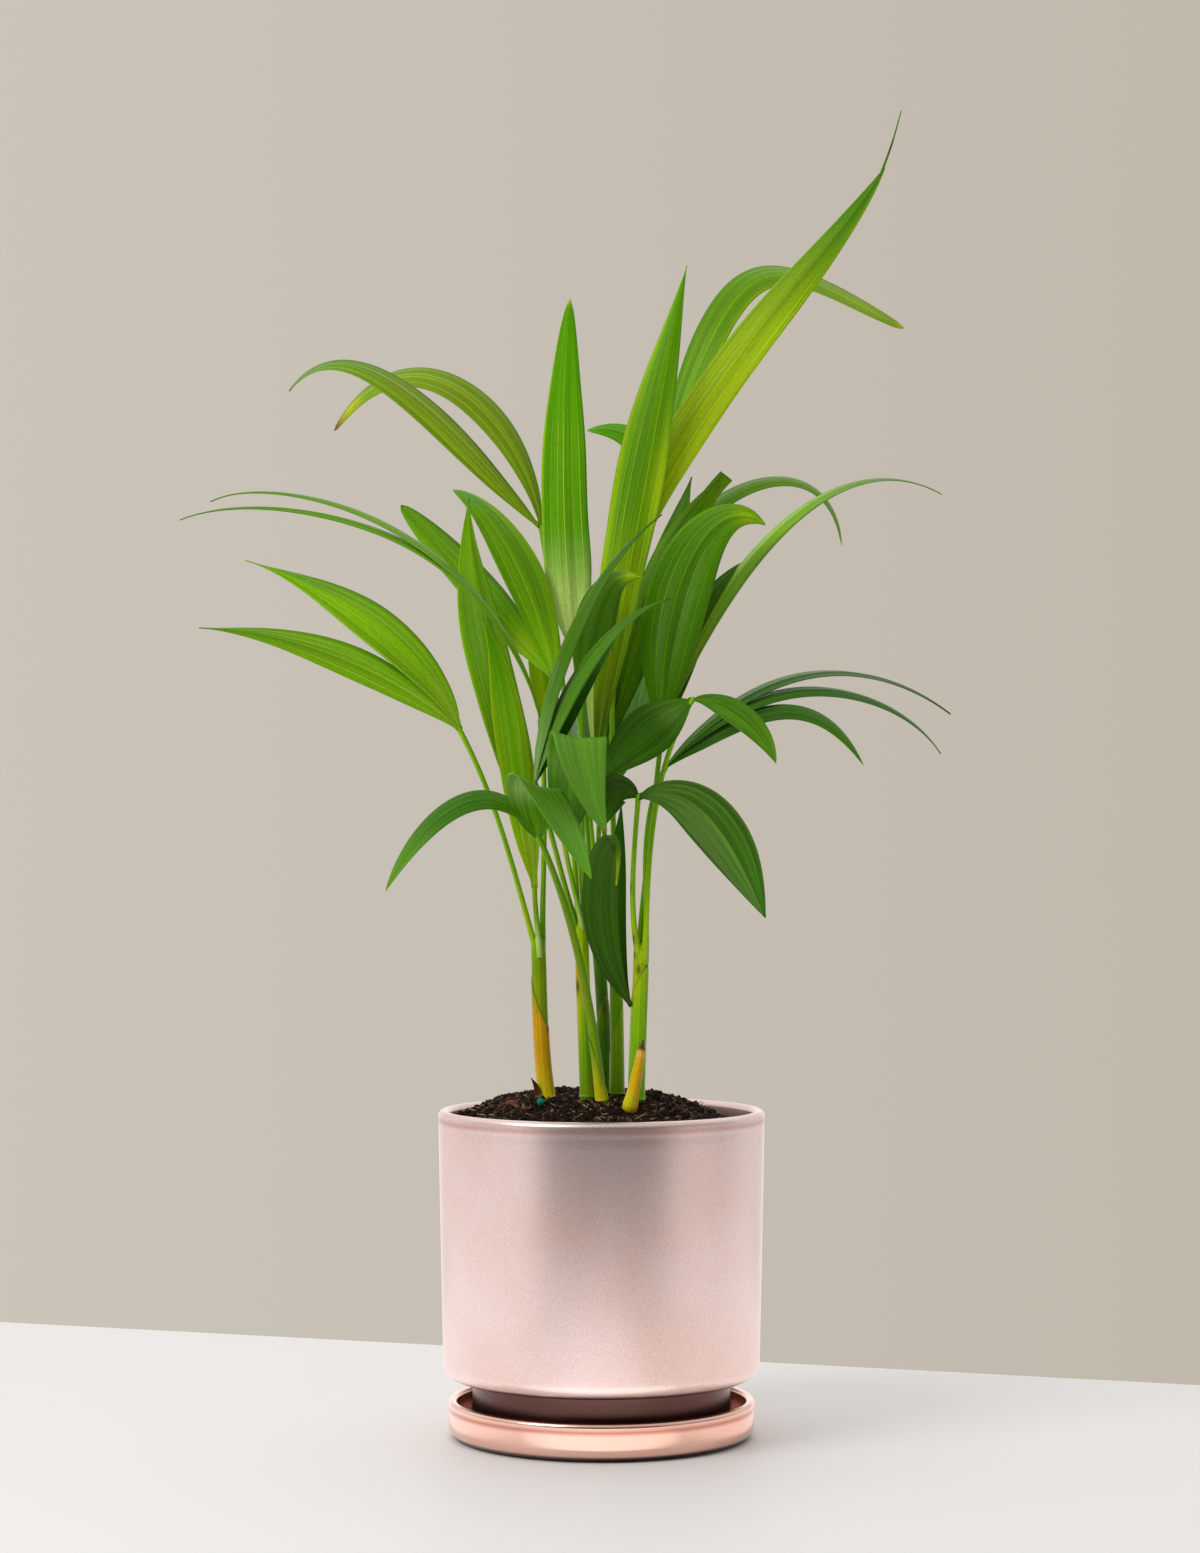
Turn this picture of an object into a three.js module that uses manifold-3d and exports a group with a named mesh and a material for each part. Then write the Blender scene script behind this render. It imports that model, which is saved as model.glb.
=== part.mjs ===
// A potted areca palm: a clump of seedlings in a glazed cylinder pot that stands in its saucer.
// Millimetres, +Z up, +X to the right and -Y towards the viewer.
// The origin is the middle of the saucer's flat underside.

import * as THREE from 'three';
import { mergeVertices } from 'three/addons/utils/BufferGeometryUtils.js';
import Module from 'manifold-3d';

const wasm = await Module();
wasm.setup();

// What lies between two pieces that rest on each other
const GAP = 0.3;

// Driving dimensions of the saucer, the pot and the soil
const TURN_STEPS = 40;
const SAUCER = {
  radius: 62.2, height: 15.3, foot: 55.5, corner: 5.5, cornerFrom: -62,
  lip: 1.8, wallLean: 0.6, fillet: 2.2, floor: 4,
};
const POT = {
  rimRadius: 66.5, rimHeight: 132.3, lip: 2.3, wallFoot: 64.4, corner: 6, underside: 24.2,
  footRadius: 52.5, footChamfer: 1.5, footInside: 47, floor: 6,
};
const SOIL = {
  edgeHeight: 125.5, crown: 13, crownX: -6, crownY: 2, reach: 66, turnSteps: 40, rings: 11, clear: 0.6,
  roughness: 0.7, waves: [[0.31, 0.17, 0], [-0.13, 0.37, 1]],
  heaps: [[21, -12, 7, 3.4], [33, 4, 8, 1.6], [-17, 12, 9, 1.4], [-36, -8, 8, 1.2], [4, 34, 9, 1.4]],
};

// Driving dimensions of the stems and the stalks
const STEM = { sides: 8, stations: 6, flare: 0.5, level: true };
const FLARE_DECAY = 5;
const STALK = { sides: 5, stations: 6 };
const STALK_RADII = [1.15, 1.05];
const STALK_RISE = 0.6;
const STALK_DEPTH = [0.3, 0.7];

// Driving dimensions of the blades, with shares of a blade's own length or width
const BLADE_STATIONS = 9;
const FRAMES_PER_STATION = 4;
const THINNEST_BLADE = 0.9;
const BLADE_THICKNESS_SHARE = 0.011;
const EDGE_THICKNESS_SHARE = 0.5;
const NARROW_THICKNESS_SHARE = 0.45;
const RIDGE_SHARE = 0.07;
const ROOT_SHARE = 0.14;
const TIP_SHARE = 0.035;
const BELLY = 0.42;
const SWELLING = 0.85;
const THINNING = 1.15;
const HUB_RADIUS = 1;
const HUB_RISE = 0.7;
const AWN = { radii: [0.6, 0.4], sides: 4, from: 0.992 };

const COLOURS = {
  glaze: 0xd8b9b2, copperGlaze: 0xe3ab95, soil: 0x33261c,
  sheathYellow: 0xc9a81e, stemGreen: 0x5f8f1c, stemDark: 0x3d5416,
  stalkLime: 0x9bb21c, stalkGreen: 0x55842a, stalkPale: 0xb5c24a,
  bright: 0x4f9010, lime: 0x83b400, deep: 0x2d5a12, blueGreen: 0x3f8c4a,
};

function finish(colour, roughness = 0.45, metalness = 0) {
  return new THREE.MeshStandardMaterial({ color: colour, roughness, metalness });
}

const MATERIALS = {
  glaze: finish(COLOURS.glaze, 0.35, 0.6),
  copperGlaze: finish(COLOURS.copperGlaze, 0.2, 0.7),
  soil: finish(COLOURS.soil, 0.95),
  sheathYellow: finish(COLOURS.sheathYellow, 0.5),
  stemGreen: finish(COLOURS.stemGreen),
  stemDark: finish(COLOURS.stemDark, 0.5),
  stalkLime: finish(COLOURS.stalkLime),
  stalkGreen: finish(COLOURS.stalkGreen),
  stalkPale: finish(COLOURS.stalkPale),
  bright: finish(COLOURS.bright, 0.4),
  lime: finish(COLOURS.lime, 0.4),
  deep: finish(COLOURS.deep, 0.4),
  blueGreen: finish(COLOURS.blueGreen, 0.4),
};

// A closed shell with only positions, its corners merged and its faces turned outwards
function closed(geometry) {
  geometry.deleteAttribute('normal');
  geometry.deleteAttribute('uv');
  const merged = mergeVertices(geometry, 1e-3);
  const index = Array.from(merged.index.array);
  const kept = [];
  for (let i = 0; i < index.length; i += 3) {
    const [a, b, c] = index.slice(i, i + 3);
    if (a !== b && b !== c && c !== a) kept.push(a, b, c);
  }
  if (volumeOf(merged, kept) < 0) {
    for (let i = 0; i < kept.length; i += 3) [kept[i + 1], kept[i + 2]] = [kept[i + 2], kept[i + 1]];
  }
  merged.setIndex(kept);
  return merged;
}

function volumeOf(geometry, index) {
  const place = geometry.getAttribute('position');
  const [a, b, c] = [new THREE.Vector3(), new THREE.Vector3(), new THREE.Vector3()];
  let volume = 0;
  for (let i = 0; i < index.length; i += 3) {
    a.fromBufferAttribute(place, index[i]);
    b.fromBufferAttribute(place, index[i + 1]);
    c.fromBufferAttribute(place, index[i + 2]);
    volume += a.dot(b.cross(c)) / 6;
  }
  return volume;
}

// Joining and cutting
function toSolid(geometry) {
  const mesh = new wasm.Mesh({
    numProp: 3,
    vertProperties: new Float32Array(geometry.getAttribute('position').array),
    triVerts: new Uint32Array(geometry.index.array),
  });
  return new wasm.Manifold(mesh);
}

function fromSolid(solid) {
  const mesh = solid.getMesh();
  const geometry = new THREE.BufferGeometry();
  geometry.setAttribute('position', new THREE.BufferAttribute(new Float32Array(mesh.vertProperties), 3));
  geometry.setIndex(Array.from(mesh.triVerts));
  return closed(geometry);
}

// The largest piece of a cut shape, so that no loose scrap is kept
function largest(solid) {
  const pieces = solid.decompose();
  return pieces.reduce((best, piece) => (piece.volume() > best.volume() ? piece : best));
}

const plant = new THREE.Group();

function add(name, geometry, material) {
  const mesh = new THREE.Mesh(geometry, material);
  mesh.name = name;
  plant.add(mesh);
}

// Pot, saucer and soil are turned shapes
function arc(radiusAt, heightAt, radius, fromDegrees, toDegrees, steps) {
  const points = [];
  for (let i = 0; i <= steps; i += 1) {
    const angle = THREE.MathUtils.degToRad(fromDegrees + ((toDegrees - fromDegrees) * i) / steps);
    points.push([radiusAt + radius * Math.cos(angle), heightAt + radius * Math.sin(angle)]);
  }
  return points;
}

function turned(profile, steps = TURN_STEPS) {
  const points = profile.map((point) => new THREE.Vector2(...point));
  const geometry = new THREE.LatheGeometry(points, steps);
  geometry.rotateX(Math.PI / 2);
  return closed(geometry);
}

function addSaucer() {
  const { radius, height, foot, corner, cornerFrom, lip, wallLean, fillet, floor } = SAUCER;
  const crest = radius - lip;
  const wall = crest - lip - wallLean;
  const profile = [
    [0, 0],
    [foot, 0],
    ...arc(radius - corner, corner, corner, cornerFrom, 0, 3),
    ...arc(crest, height - lip, lip, 0, 180, 5),
    [wall, floor + fillet],
    [wall - fillet, floor],
    [0, floor],
  ];
  add('saucer', turned(profile), MATERIALS.copperGlaze);
}

const potSeat = SAUCER.floor + GAP;
const potCrest = POT.rimRadius - POT.lip;
const potInside = { top: potCrest - POT.lip, foot: POT.wallFoot - 2 * POT.lip, floor: potSeat + POT.floor };

function addPot() {
  const { rimHeight, lip, wallFoot, corner, underside, footRadius, footChamfer, footInside } = POT;
  const profile = [
    [0, potSeat],
    [footRadius - footChamfer, potSeat],
    [footRadius, potSeat + footChamfer],
    [footRadius, underside],
    ...arc(wallFoot - corner, underside + corner, corner, -90, 0, 4),
    ...arc(potCrest, rimHeight - lip, lip, 0, 180, 5),
    [potInside.foot, underside + corner],
    [footInside, underside],
    [footInside, potInside.floor],
    [0, potInside.floor],
  ];
  add('pot', turned(profile), MATERIALS.glaze);
}

// The soil lies a little below the rim at the wall and is heaped up round the stems
function soilHeight(x, y) {
  const { edgeHeight, crown, crownX, crownY, reach, roughness, waves, heaps } = SOIL;
  const away = Math.min(1, Math.hypot(x - crownX, y - crownY) / reach);
  const ripple = waves.reduce((sum, [a, b, c]) => sum + Math.sin(a * x + b * y + c), 0);
  const heaped = heaps.reduce(
    (sum, [atX, atY, wide, rise]) => sum + rise * Math.exp(-((x - atX) ** 2 + (y - atY) ** 2) / wide ** 2),
    0,
  );
  const dome = crown * (0.5 + 0.5 * Math.cos(Math.PI * away ** 2));
  return edgeHeight + dome + roughness * ripple * away + heaped;
}

function addSoil() {
  const { edgeHeight, clear, rings, turnSteps } = SOIL;
  const edge = potInside.top - clear;
  const profile = [
    [0, potInside.floor + GAP],
    [POT.footInside - GAP, potInside.floor + GAP],
    [POT.footInside - GAP, POT.underside + GAP],
    [potInside.foot - clear, POT.underside + POT.corner + clear],
  ];
  for (let ring = 0; ring <= rings; ring += 1) {
    profile.push([edge * (1 - ring / rings), edgeHeight]);
  }
  const geometry = turned(profile, turnSteps);
  const place = geometry.getAttribute('position');
  for (let i = 0; i < place.count; i += 1) {
    if (place.getZ(i) > edgeHeight - 1) place.setZ(i, soilHeight(place.getX(i), place.getY(i)));
  }
  add('soil', geometry, MATERIALS.soil);
}

// Curves that limbs and blades follow, in headings seen from the front:
// 0 points right, 90 up and 180 left
function heading(degrees) {
  const angle = THREE.MathUtils.degToRad(degrees);
  return new THREE.Vector3(Math.cos(angle), 0, Math.sin(angle));
}

function route(from, to, { start, end, pull = [0.33, 0.33], depth = [0.15, 0.6] }) {
  const first = new THREE.Vector3(...from);
  const last = new THREE.Vector3(...to);
  const span = Math.hypot(last.x - first.x, last.z - first.z);
  const second = first.clone().addScaledVector(heading(start), pull[0] * span);
  const third = last.clone().addScaledVector(heading(end), -pull[1] * span);
  second.y = THREE.MathUtils.lerp(first.y, last.y, depth[0]);
  third.y = THREE.MathUtils.lerp(first.y, last.y, depth[1]);
  return new THREE.CubicBezierCurve3(first, second, third, last);
}

// Stations along a curve with a frame that is carried on without twist, then rolled:
// across lies in the blade, face stands on its upper side
function stationsAlong(curve, shares, roll = [0, 0]) {
  const towardsViewer = new THREE.Vector3(0, -1, 0);
  let carried = null;
  return shares.map((share) => {
    const along = curve.getTangentAt(share).normalize();
    const face = (carried ?? towardsViewer).clone();
    face.addScaledVector(along, -face.dot(along)).normalize();
    carried = face.clone();
    const across = face.clone().cross(along);
    const angle = THREE.MathUtils.degToRad(THREE.MathUtils.lerp(roll[0], roll[1], share));
    const [cos, sin] = [Math.cos(angle), Math.sin(angle)];
    return {
      share,
      centre: curve.getPointAt(share),
      across: across.clone().multiplyScalar(cos).addScaledVector(face, sin),
      face: face.multiplyScalar(cos).addScaledVector(across, -sin),
    };
  });
}

function spread(from, to, count) {
  return Array.from({ length: count }, (_, i) => from + ((to - from) * i) / (count - 1));
}

// Rings of equal count joined by a skin and closed by a fan at either end
function loft(rings) {
  const sides = rings[0].length;
  const place = rings.flat().flatMap((point) => point.toArray());
  const last = (rings.length - 1) * sides;
  const index = [];
  for (let i = 1; i + 1 < sides; i += 1) {
    index.push(0, i + 1, i);
    index.push(last, last + i, last + i + 1);
  }
  for (let k = 0; k + 1 < rings.length; k += 1) {
    for (let i = 0; i < sides; i += 1) {
      const a = k * sides + i;
      const b = k * sides + ((i + 1) % sides);
      index.push(a, b, b + sides, a, b + sides, a + sides);
    }
  }
  const geometry = new THREE.BufferGeometry();
  geometry.setAttribute('position', new THREE.Float32BufferAttribute(place, 3));
  geometry.setIndex(index);
  return closed(geometry);
}

function ringPoint(station, across, up) {
  return station.centre.clone().addScaledVector(station.across, across).addScaledVector(station.face, up);
}

// A limb tapers from its foot to its tip and may flare at the foot, which may be cut level
function limb(curve, radii, { sides, stations, flare = 0, swell = 0, level = false }) {
  const length = curve.getLength();
  const rings = stationsAlong(curve, spread(0, 1, stations)).map((station) => {
    const taper = THREE.MathUtils.lerp(radii[0], radii[1], station.share);
    const radius = taper + flare * Math.exp((-station.share * length) / FLARE_DECAY) + swell;
    const ring = spread(0, 2 * Math.PI, sides + 1).slice(0, -1)
      .map((angle) => ringPoint(station, radius * Math.cos(angle), radius * Math.sin(angle)));
    if (level && station.share === 0) ring.forEach((point) => point.setZ(station.centre.z));
    return ring;
  });
  return loft(rings);
}

// Width of a blade along its length: narrow at its root, widest at its belly, drawn out to its tip
function bladeShare(share, { belly = BELLY, swelling = SWELLING, thinning = THINNING }) {
  const widening = Math.sin((Math.PI / 2) * Math.min(1, share / belly)) ** swelling;
  const narrowing = Math.cos((Math.PI / 2) * Math.max(0, (share - belly) / (1 - belly))) ** thinning;
  return Math.max(ROOT_SHARE * (1 - share), widening * narrowing, TIP_SHARE);
}

// A blade is a thin sheet with a low ridge along its middle
function blade(curve, lobe, from = 0, to = 1) {
  const { width, roll = [0, 0] } = lobe;
  const middle = Math.max(THINNEST_BLADE, BLADE_THICKNESS_SHARE * curve.getLength());
  const frames = FRAMES_PER_STATION * BLADE_STATIONS;
  const framed = stationsAlong(curve, spread(0, 1, frames + 1), roll);
  const count = Math.max(3, Math.round(BLADE_STATIONS * (to - from)));
  const chosen = spread(from, to, count + 1).map((share) => framed[Math.round(share * frames)]);
  return loft(chosen.map((station) => {
    const wide = width * bladeShare(station.share, lobe);
    const thick = middle * Math.min(1, NARROW_THICKNESS_SHARE + wide / width);
    const edge = EDGE_THICKNESS_SHARE * thick;
    const lift = RIDGE_SHARE * wide;
    return [
      ringPoint(station, 0, lift - thick / 2),
      ringPoint(station, wide / 2, -edge / 2),
      ringPoint(station, wide / 2, edge / 2),
      ringPoint(station, 0, lift + thick / 2),
      ringPoint(station, -wide / 2, edge / 2),
      ringPoint(station, -wide / 2, -edge / 2),
    ];
  }));
}

// Stems from the soil to the top of their sheaths
const STEMS = {
  left: {
    foot: [-22, -18], top: [-25.5, -17, 201],
    radii: [2.7, 2.7], start: 98, end: 92, colour: 'stemGreen',
  },
  middle: {
    foot: [-5.5, -22], top: [-8, -19, 208],
    radii: [2.5, 2.5], start: 92, end: 91, colour: 'stemGreen',
  },
  dark: { foot: [1.5, 4], top: [-2.5, 1, 208.5], radii: [2.4, 2.3], start: 91, end: 97, colour: 'stemDark' },
  back: {
    foot: [6.3, -8.9], top: [5.5, -8, 205.5],
    radii: [2.4, 2.4], start: 90, end: 91, colour: 'stemGreen',
  },
  right: {
    foot: [14, -23], top: [16, -24, 198.5],
    radii: [2.8, 2.8], start: 89, end: 88, colour: 'stemGreen',
  },
  front: {
    foot: [0, -27], top: [-24.5, -46, 242.5], radii: [2, 1.1], start: 96, end: 114, pull: [0.4, 0.3],
    colour: 'stemGreen',
  },
};

// The cut stub of an old sheath in front of the right stem
const STUB = {
  foot: [11.5, -32.5], top: [16.5, -31, 161.5], radii: [2.4, 1.3],
  start: 76, end: 78, colour: 'sheathYellow',
};

// A stem stands on level ground, just above the highest crumb under its flared foot
function stemCurve({ foot: [x, y], top, radii, start, end, pull }) {
  const radius = radii[0] + STEM.flare;
  const heights = spread(0, 2 * Math.PI, STEM.sides + 1)
    .map((angle) => soilHeight(x + radius * Math.cos(angle), y + radius * Math.sin(angle)));
  return route([x, y, Math.max(...heights) + 2 * GAP], top, { start, end, pull });
}

function addStem(name, stem) {
  add(name, limb(stemCurve(stem), stem.radii, STEM), MATERIALS[stem.colour]);
}

// Each leaf has a stalk that is seated on a stem's top, and a frond whose lobes part at its hub.
// The lowest two sit straight on a stem. A lobe bent round a wide gap is parted at the share named part.
const LEAVES = {
  low_left: {
    on: 'left', seat: [-2, -1], hub: [-56, -40, 285],
    start: 105, end: 118, stalk: 'stalkLime', colour: 'bright',
    lobes: {
      upper: {
        tip: [-139, -62, 351], start: 110, end: 164, width: 18.5, roll: [28, 48], belly: 0.47,
        thinning: 1.8,
      },
      lower: { tip: [-154, -85, 323], start: 138, end: 180, width: 15.5, roll: [30, 50], thinning: 1.5 },
    },
  },
  tall_left: {
    on: 'left', seat: [0.2, -2.4], hub: [-27, -19, 222],
    start: 95, end: 92, stalk: 'stalkPale', colour: 'blueGreen',
    lobes: {
      rear: { tip: [-54, -9, 381], start: 91, end: 86, width: 19, roll: [10, 30], belly: 0.6 },
      front: { tip: [-48, -19, 332], start: 104, end: 112, width: 14, roll: [15, 30], belly: 0.58 },
    },
  },
  reaching_left: {
    on: 'left', seat: [1.7, 1.4], hub: [-24.5, -26, 289],
    start: 90, end: 96, stalk: 'stalkGreen', colour: 'deep',
    lobes: {
      upper: {
        tip: [-154, -50, 375], start: 104, end: 211, width: 8.5, roll: [72, 76], pull: [0.54, 0.18],
        part: 0.62,
      },
      lower: {
        tip: [-165, -58, 367], start: 103, end: 205, width: 8.5, roll: [72, 78], pull: [0.53, 0.22],
        part: 0.62,
      },
    },
  },
  slim_front: {
    on: 'middle', seat: [-2.3, -0.8], hub: [-26, -40, 263.5],
    start: 108, end: 110, stalk: 'stalkGreen', colour: 'blueGreen',
    lobes: {
      upper: { tip: [24, -42, 371], start: 84, end: 36, width: 12, roll: [-56, -68] },
      lower: { tip: [27, -58, 336], start: 75, end: 14, width: 12, roll: [-54, -68] },
      short: { tip: [9, -36, 328], start: 66, end: 58, width: 9, roll: [-40, -60] },
    },
  },
  spear: {
    on: 'dark', seat: [-1.2, -1.2], hub: [-10.5, -2, 317.5],
    start: 92, end: 92, stalk: 'stalkGreen', colour: 'bright',
    lobes: {
      only: {
        tip: [-13, 12, 466], start: 97, end: 86, width: 20, roll: [8, 8], belly: 0.3, swelling: 0.65,
        thinning: 0.65,
      },
    },
  },
  arching_left: {
    on: 'middle', seat: [1.4, 2.1], hub: [-25, 20, 371],
    start: 95, end: 100, stalk: 'stalkLime', colour: 'bright',
    lobes: {
      front: {
        tip: [-132, 42, 432], start: 140, end: 231, width: 15.5, roll: [34, 52], pull: [0.22, 0.4],
        part: 0.6, belly: 0.5, thinning: 0.7,
      },
      rear: {
        tip: [-116, 78, 420], start: 98, end: 234, width: 13.5, roll: [32, -6], pull: [0.45, 0.6],
        part: 0.6, thinning: 0.5,
      },
    },
  },
  mid_left: {
    on: 'middle', seat: [-1.5, 2.1], hub: [-19.5, -12, 307],
    start: 92, end: 98, stalk: 'stalkLime', colour: 'bright',
    lobes: {
      upper: {
        tip: [-61, 4, 386], start: 98, end: 158, width: 18.5, roll: [14, 36], pull: [0.45, 0.2],
        belly: 0.5, thinning: 0.65,
      },
      lower: {
        tip: [-84, 28, 382], start: 128, end: 136, width: 17, roll: [16, 36], depth: [0.35, 0.75],
        belly: 0.5, thinning: 0.5,
      },
    },
  },
  tallest: {
    on: 'back', seat: [-1.1, -1], hub: [-2, -4, 274],
    start: 93, end: 96, stalk: 'stalkLime', colour: 'bright',
    lobes: {
      left: { tip: [35, -4, 477], start: 84, end: 76, width: 20.5, roll: [-8, -14], belly: 0.55 },
      right: {
        tip: [118, 18, 522], awn: [125, 20, 546], start: 98, end: 62, width: 19, roll: [-10, -30],
        pull: [0.4, 0.2], belly: 0.62, thinning: 0.8,
      },
    },
  },
  hooked_back: {
    on: 'back', seat: [1.1, 1.1], hub: [22.5, 22, 386],
    start: 92, end: 66, stalk: 'stalkGreen', colour: 'bright',
    lobes: {
      right: {
        tip: [130, 62, 462], start: 74, end: -24, width: 16, roll: [-42, -12], pull: [0.95, 0.5],
        part: 0.58, thinning: 0.45,
      },
      left: {
        tip: [-6, 30, 414], start: 118, end: 186, width: 13, roll: [20, 30], pull: [0.18, 0.72],
        thinning: 0.7,
      },
    },
  },
  dark_hook: {
    on: 'middle', seat: [2.3, -0.8], hub: [-7.5, -12, 298.5],
    start: 95, end: 88, stalk: 'stalkGreen', colour: 'deep',
    lobes: {
      only: {
        tip: [17, -26, 347], start: 84, end: -18,
        width: 17, roll: [-10, -20], pull: [0.7, 0.3], belly: 0.5,
      },
    },
  },
  broad_right: {
    on: 'right', seat: [-0.8, 2.3], hub: [24.5, -4, 285],
    start: 86, end: 84, stalk: 'stalkGreen', colour: 'deep',
    lobes: {
      broad: {
        tip: [66, -20, 369], start: 90, end: -42, width: 26, roll: [-8, -16], pull: [0.75, 0.25],
        belly: 0.5, thinning: 0.9,
      },
      behind: { tip: [64, 8, 359], start: 76, end: 26, width: 14, roll: [-20, -36] },
      strip: {
        tip: [141, 14, 385], start: 72, end: -28, width: 12.5, roll: [-52, -68], pull: [0.5, 0.32],
        part: 0.58, thinning: 0.8,
      },
    },
  },
  dark_fan: {
    on: 'dark', seat: [1.3, -1.2], hub: [0.5, 8, 276],
    start: 92, end: 86, stalk: 'stalkGreen', colour: 'deep',
    lobes: {
      folded: { tip: [38, 28, 394], start: 72, end: 74, width: 16, roll: [-20, -34], belly: 0.62 },
      blunt: {
        tip: [52, 16, 393], start: 70, end: 46, width: 17, roll: [-12, -26], belly: 0.62, thinning: 0.8,
      },
      arched: {
        tip: [101, 34, 366], start: 85, end: -84, width: 13, roll: [-46, -46], pull: [0.85, 0.41],
        depth: [0.6, 0.8], part: 0.64, thinning: 0.6,
      },
    },
  },
  low_centre: {
    on: 'right', seat: [1.5, -2], hub: [36, -24, 297.5],
    start: 88, end: 60, stalk: 'stalkLime', colour: 'deep',
    lobes: {
      folded: { tip: [0, -38, 264], start: 214, end: 240, width: 21, roll: [8, 20] },
      right: { tip: [69, -42, 272], start: 8, end: -74, width: 11, roll: [-30, -40], thinning: 0.85 },
    },
  },
  reaching_right: {
    on: 'right', seat: [1.8, 1.1], hub: [25.5, -14, 270.5],
    start: 88, end: 62, stalk: 'stalkGreen', colour: 'deep',
    lobes: {
      upper: {
        tip: [144, 10, 294], start: 50, end: -36, width: 10, roll: [-58, -70], pull: [0.55, 0.31],
        thinning: 0.85,
      },
      middle: {
        tip: [138, -6, 277], start: 48, end: -57, width: 11, roll: [-58, -68], pull: [0.58, 0.28],
        thinning: 0.85,
      },
      lower: {
        tip: [105, -26, 272], start: 35, end: -61, width: 11, roll: [-50, -60], pull: [0.42, 0.55],
        thinning: 0.85,
      },
    },
  },
  low_right: {
    on: 'right', seat: [-1.8, -2.2], hub: [14.5, -38, 258],
    start: 100, end: 86, stalk: 'stalkLime', colour: 'deep',
    lobes: {
      right: {
        tip: [63, -76, 212], start: 20, end: -68, width: 20.5, roll: [-24, -34], pull: [0.4, 0.35],
        thinning: 0.9,
      },
      left: { tip: [0, -45, 246], start: 140, end: 256, width: 13, roll: [24, 36], pull: [0.8, 0.5] },
    },
  },
  front_left: {
    on: 'front', atTop: true, hub: [-24.5, -46, 242.5], colour: 'deep',
    lobes: {
      left: {
        tip: [-84, -60, 222], start: 122, end: 246, width: 11, roll: [46, 60], pull: [0.62, 0.42],
        part: 0.52, thinning: 0.8,
      },
      right: {
        tip: [-4, -80, 227], start: 100, end: -58, width: 24, roll: [0, 0], pull: [2, 0.5],
        depth: [0.05, 0.95], belly: 0.4, swelling: 0.55, thinning: 0.8,
      },
    },
  },
  front_right: {
    on: 'middle', seat: [0, -2.4], hub: [-15, -34, 242],
    start: 100, end: 98, stalk: 'stalkPale', colour: 'deep',
    lobes: {
      over: {
        tip: [2, -62, 245], start: 81, end: -62, width: 23, roll: [20, 0], pull: [4.2, 2],
        depth: [0.6, 0.95], belly: 0.46, swelling: 0.55, thinning: 0.8,
      },
      bud: { tip: [-11, -28, 299], start: 96, end: 64, width: 7, roll: [-30, -40] },
    },
  },
  drooping: {
    on: 'right', hub: [12, -25, 175.5], colour: 'deep',
    lobes: {
      front: {
        tip: [6, -46, 224], start: 122, end: -98, width: 14.5, roll: [0, 0], pull: [1.1, 0.9],
        depth: [0.35, 0.95], belly: 0.5, thinning: 0.8,
      },
      rear: { tip: [8, -14, 258], start: 118, end: 88, width: 11, roll: [-10, -10], depth: [0.6, 1] },
    },
  },
  young_lime: {
    on: 'dark', seat: [-1.2, 1.3], hub: [-18.5, 10, 280],
    start: 98, end: 106, stalk: 'stalkLime', colour: 'lime',
    lobes: {
      only: { tip: [-32, 16, 336], start: 106, end: 112, width: 10, roll: [10, 10] },
    },
  },
  back_right: {
    on: 'back', seat: [0.4, 3], hub: [4.5, 22, 263],
    start: 91, end: 90, stalk: 'stalkGreen', colour: 'deep',
    lobes: {
      right: { tip: [30, 105, 331], start: 70, end: 30, width: 19, roll: [0, 0], depth: [0.2, 0.55] },
      left: { tip: [-10, 96, 324], start: 105, end: 130, width: 18, roll: [0, 0], depth: [0.2, 0.55] },
    },
  },
  back_left: {
    on: 'dark', seat: [1.3, 1.3], hub: [-5.5, 18, 258.5],
    start: 92, end: 96, stalk: 'stalkGreen', colour: 'deep',
    lobes: {
      left: { tip: [-24, 108, 298], start: 110, end: 160, width: 18, roll: [0, 0], depth: [0.2, 0.55] },
      right: { tip: [1, 118, 305], start: 84, end: 40, width: 17, roll: [0, 0], depth: [0.2, 0.55] },
    },
  },
};

function stalkCurve({ on, seat, hub, start, end }) {
  const [x, y, z] = STEMS[on].top;
  return route([x + seat[0], y + seat[1], z + STALK_RISE], hub, { start, end, depth: STALK_DEPTH });
}

// What a frond is cut clear of at its hub: its own stalk or stem, a gap thicker all round
function carrierOf(leaf) {
  const swell = GAP + 0.02;
  if (leaf.seat) return toSolid(limb(stalkCurve(leaf), STALK_RADII, { ...STALK, swell }));
  const stem = STEMS[leaf.on];
  return toSolid(limb(stemCurve(stem), stem.radii, { ...STEM, swell }));
}

// The hub lies a little beyond the end of what carries it, so that every lobe starts clear of that
function hubBeyond(leaf) {
  const hub = new THREE.Vector3(...leaf.hub);
  if (leaf.seat) return hub.addScaledVector(stalkCurve(leaf).getTangentAt(1), HUB_RISE);
  return leaf.atTop ? hub.addScaledVector(heading(STEMS[leaf.on].end), HUB_RISE) : hub;
}

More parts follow.
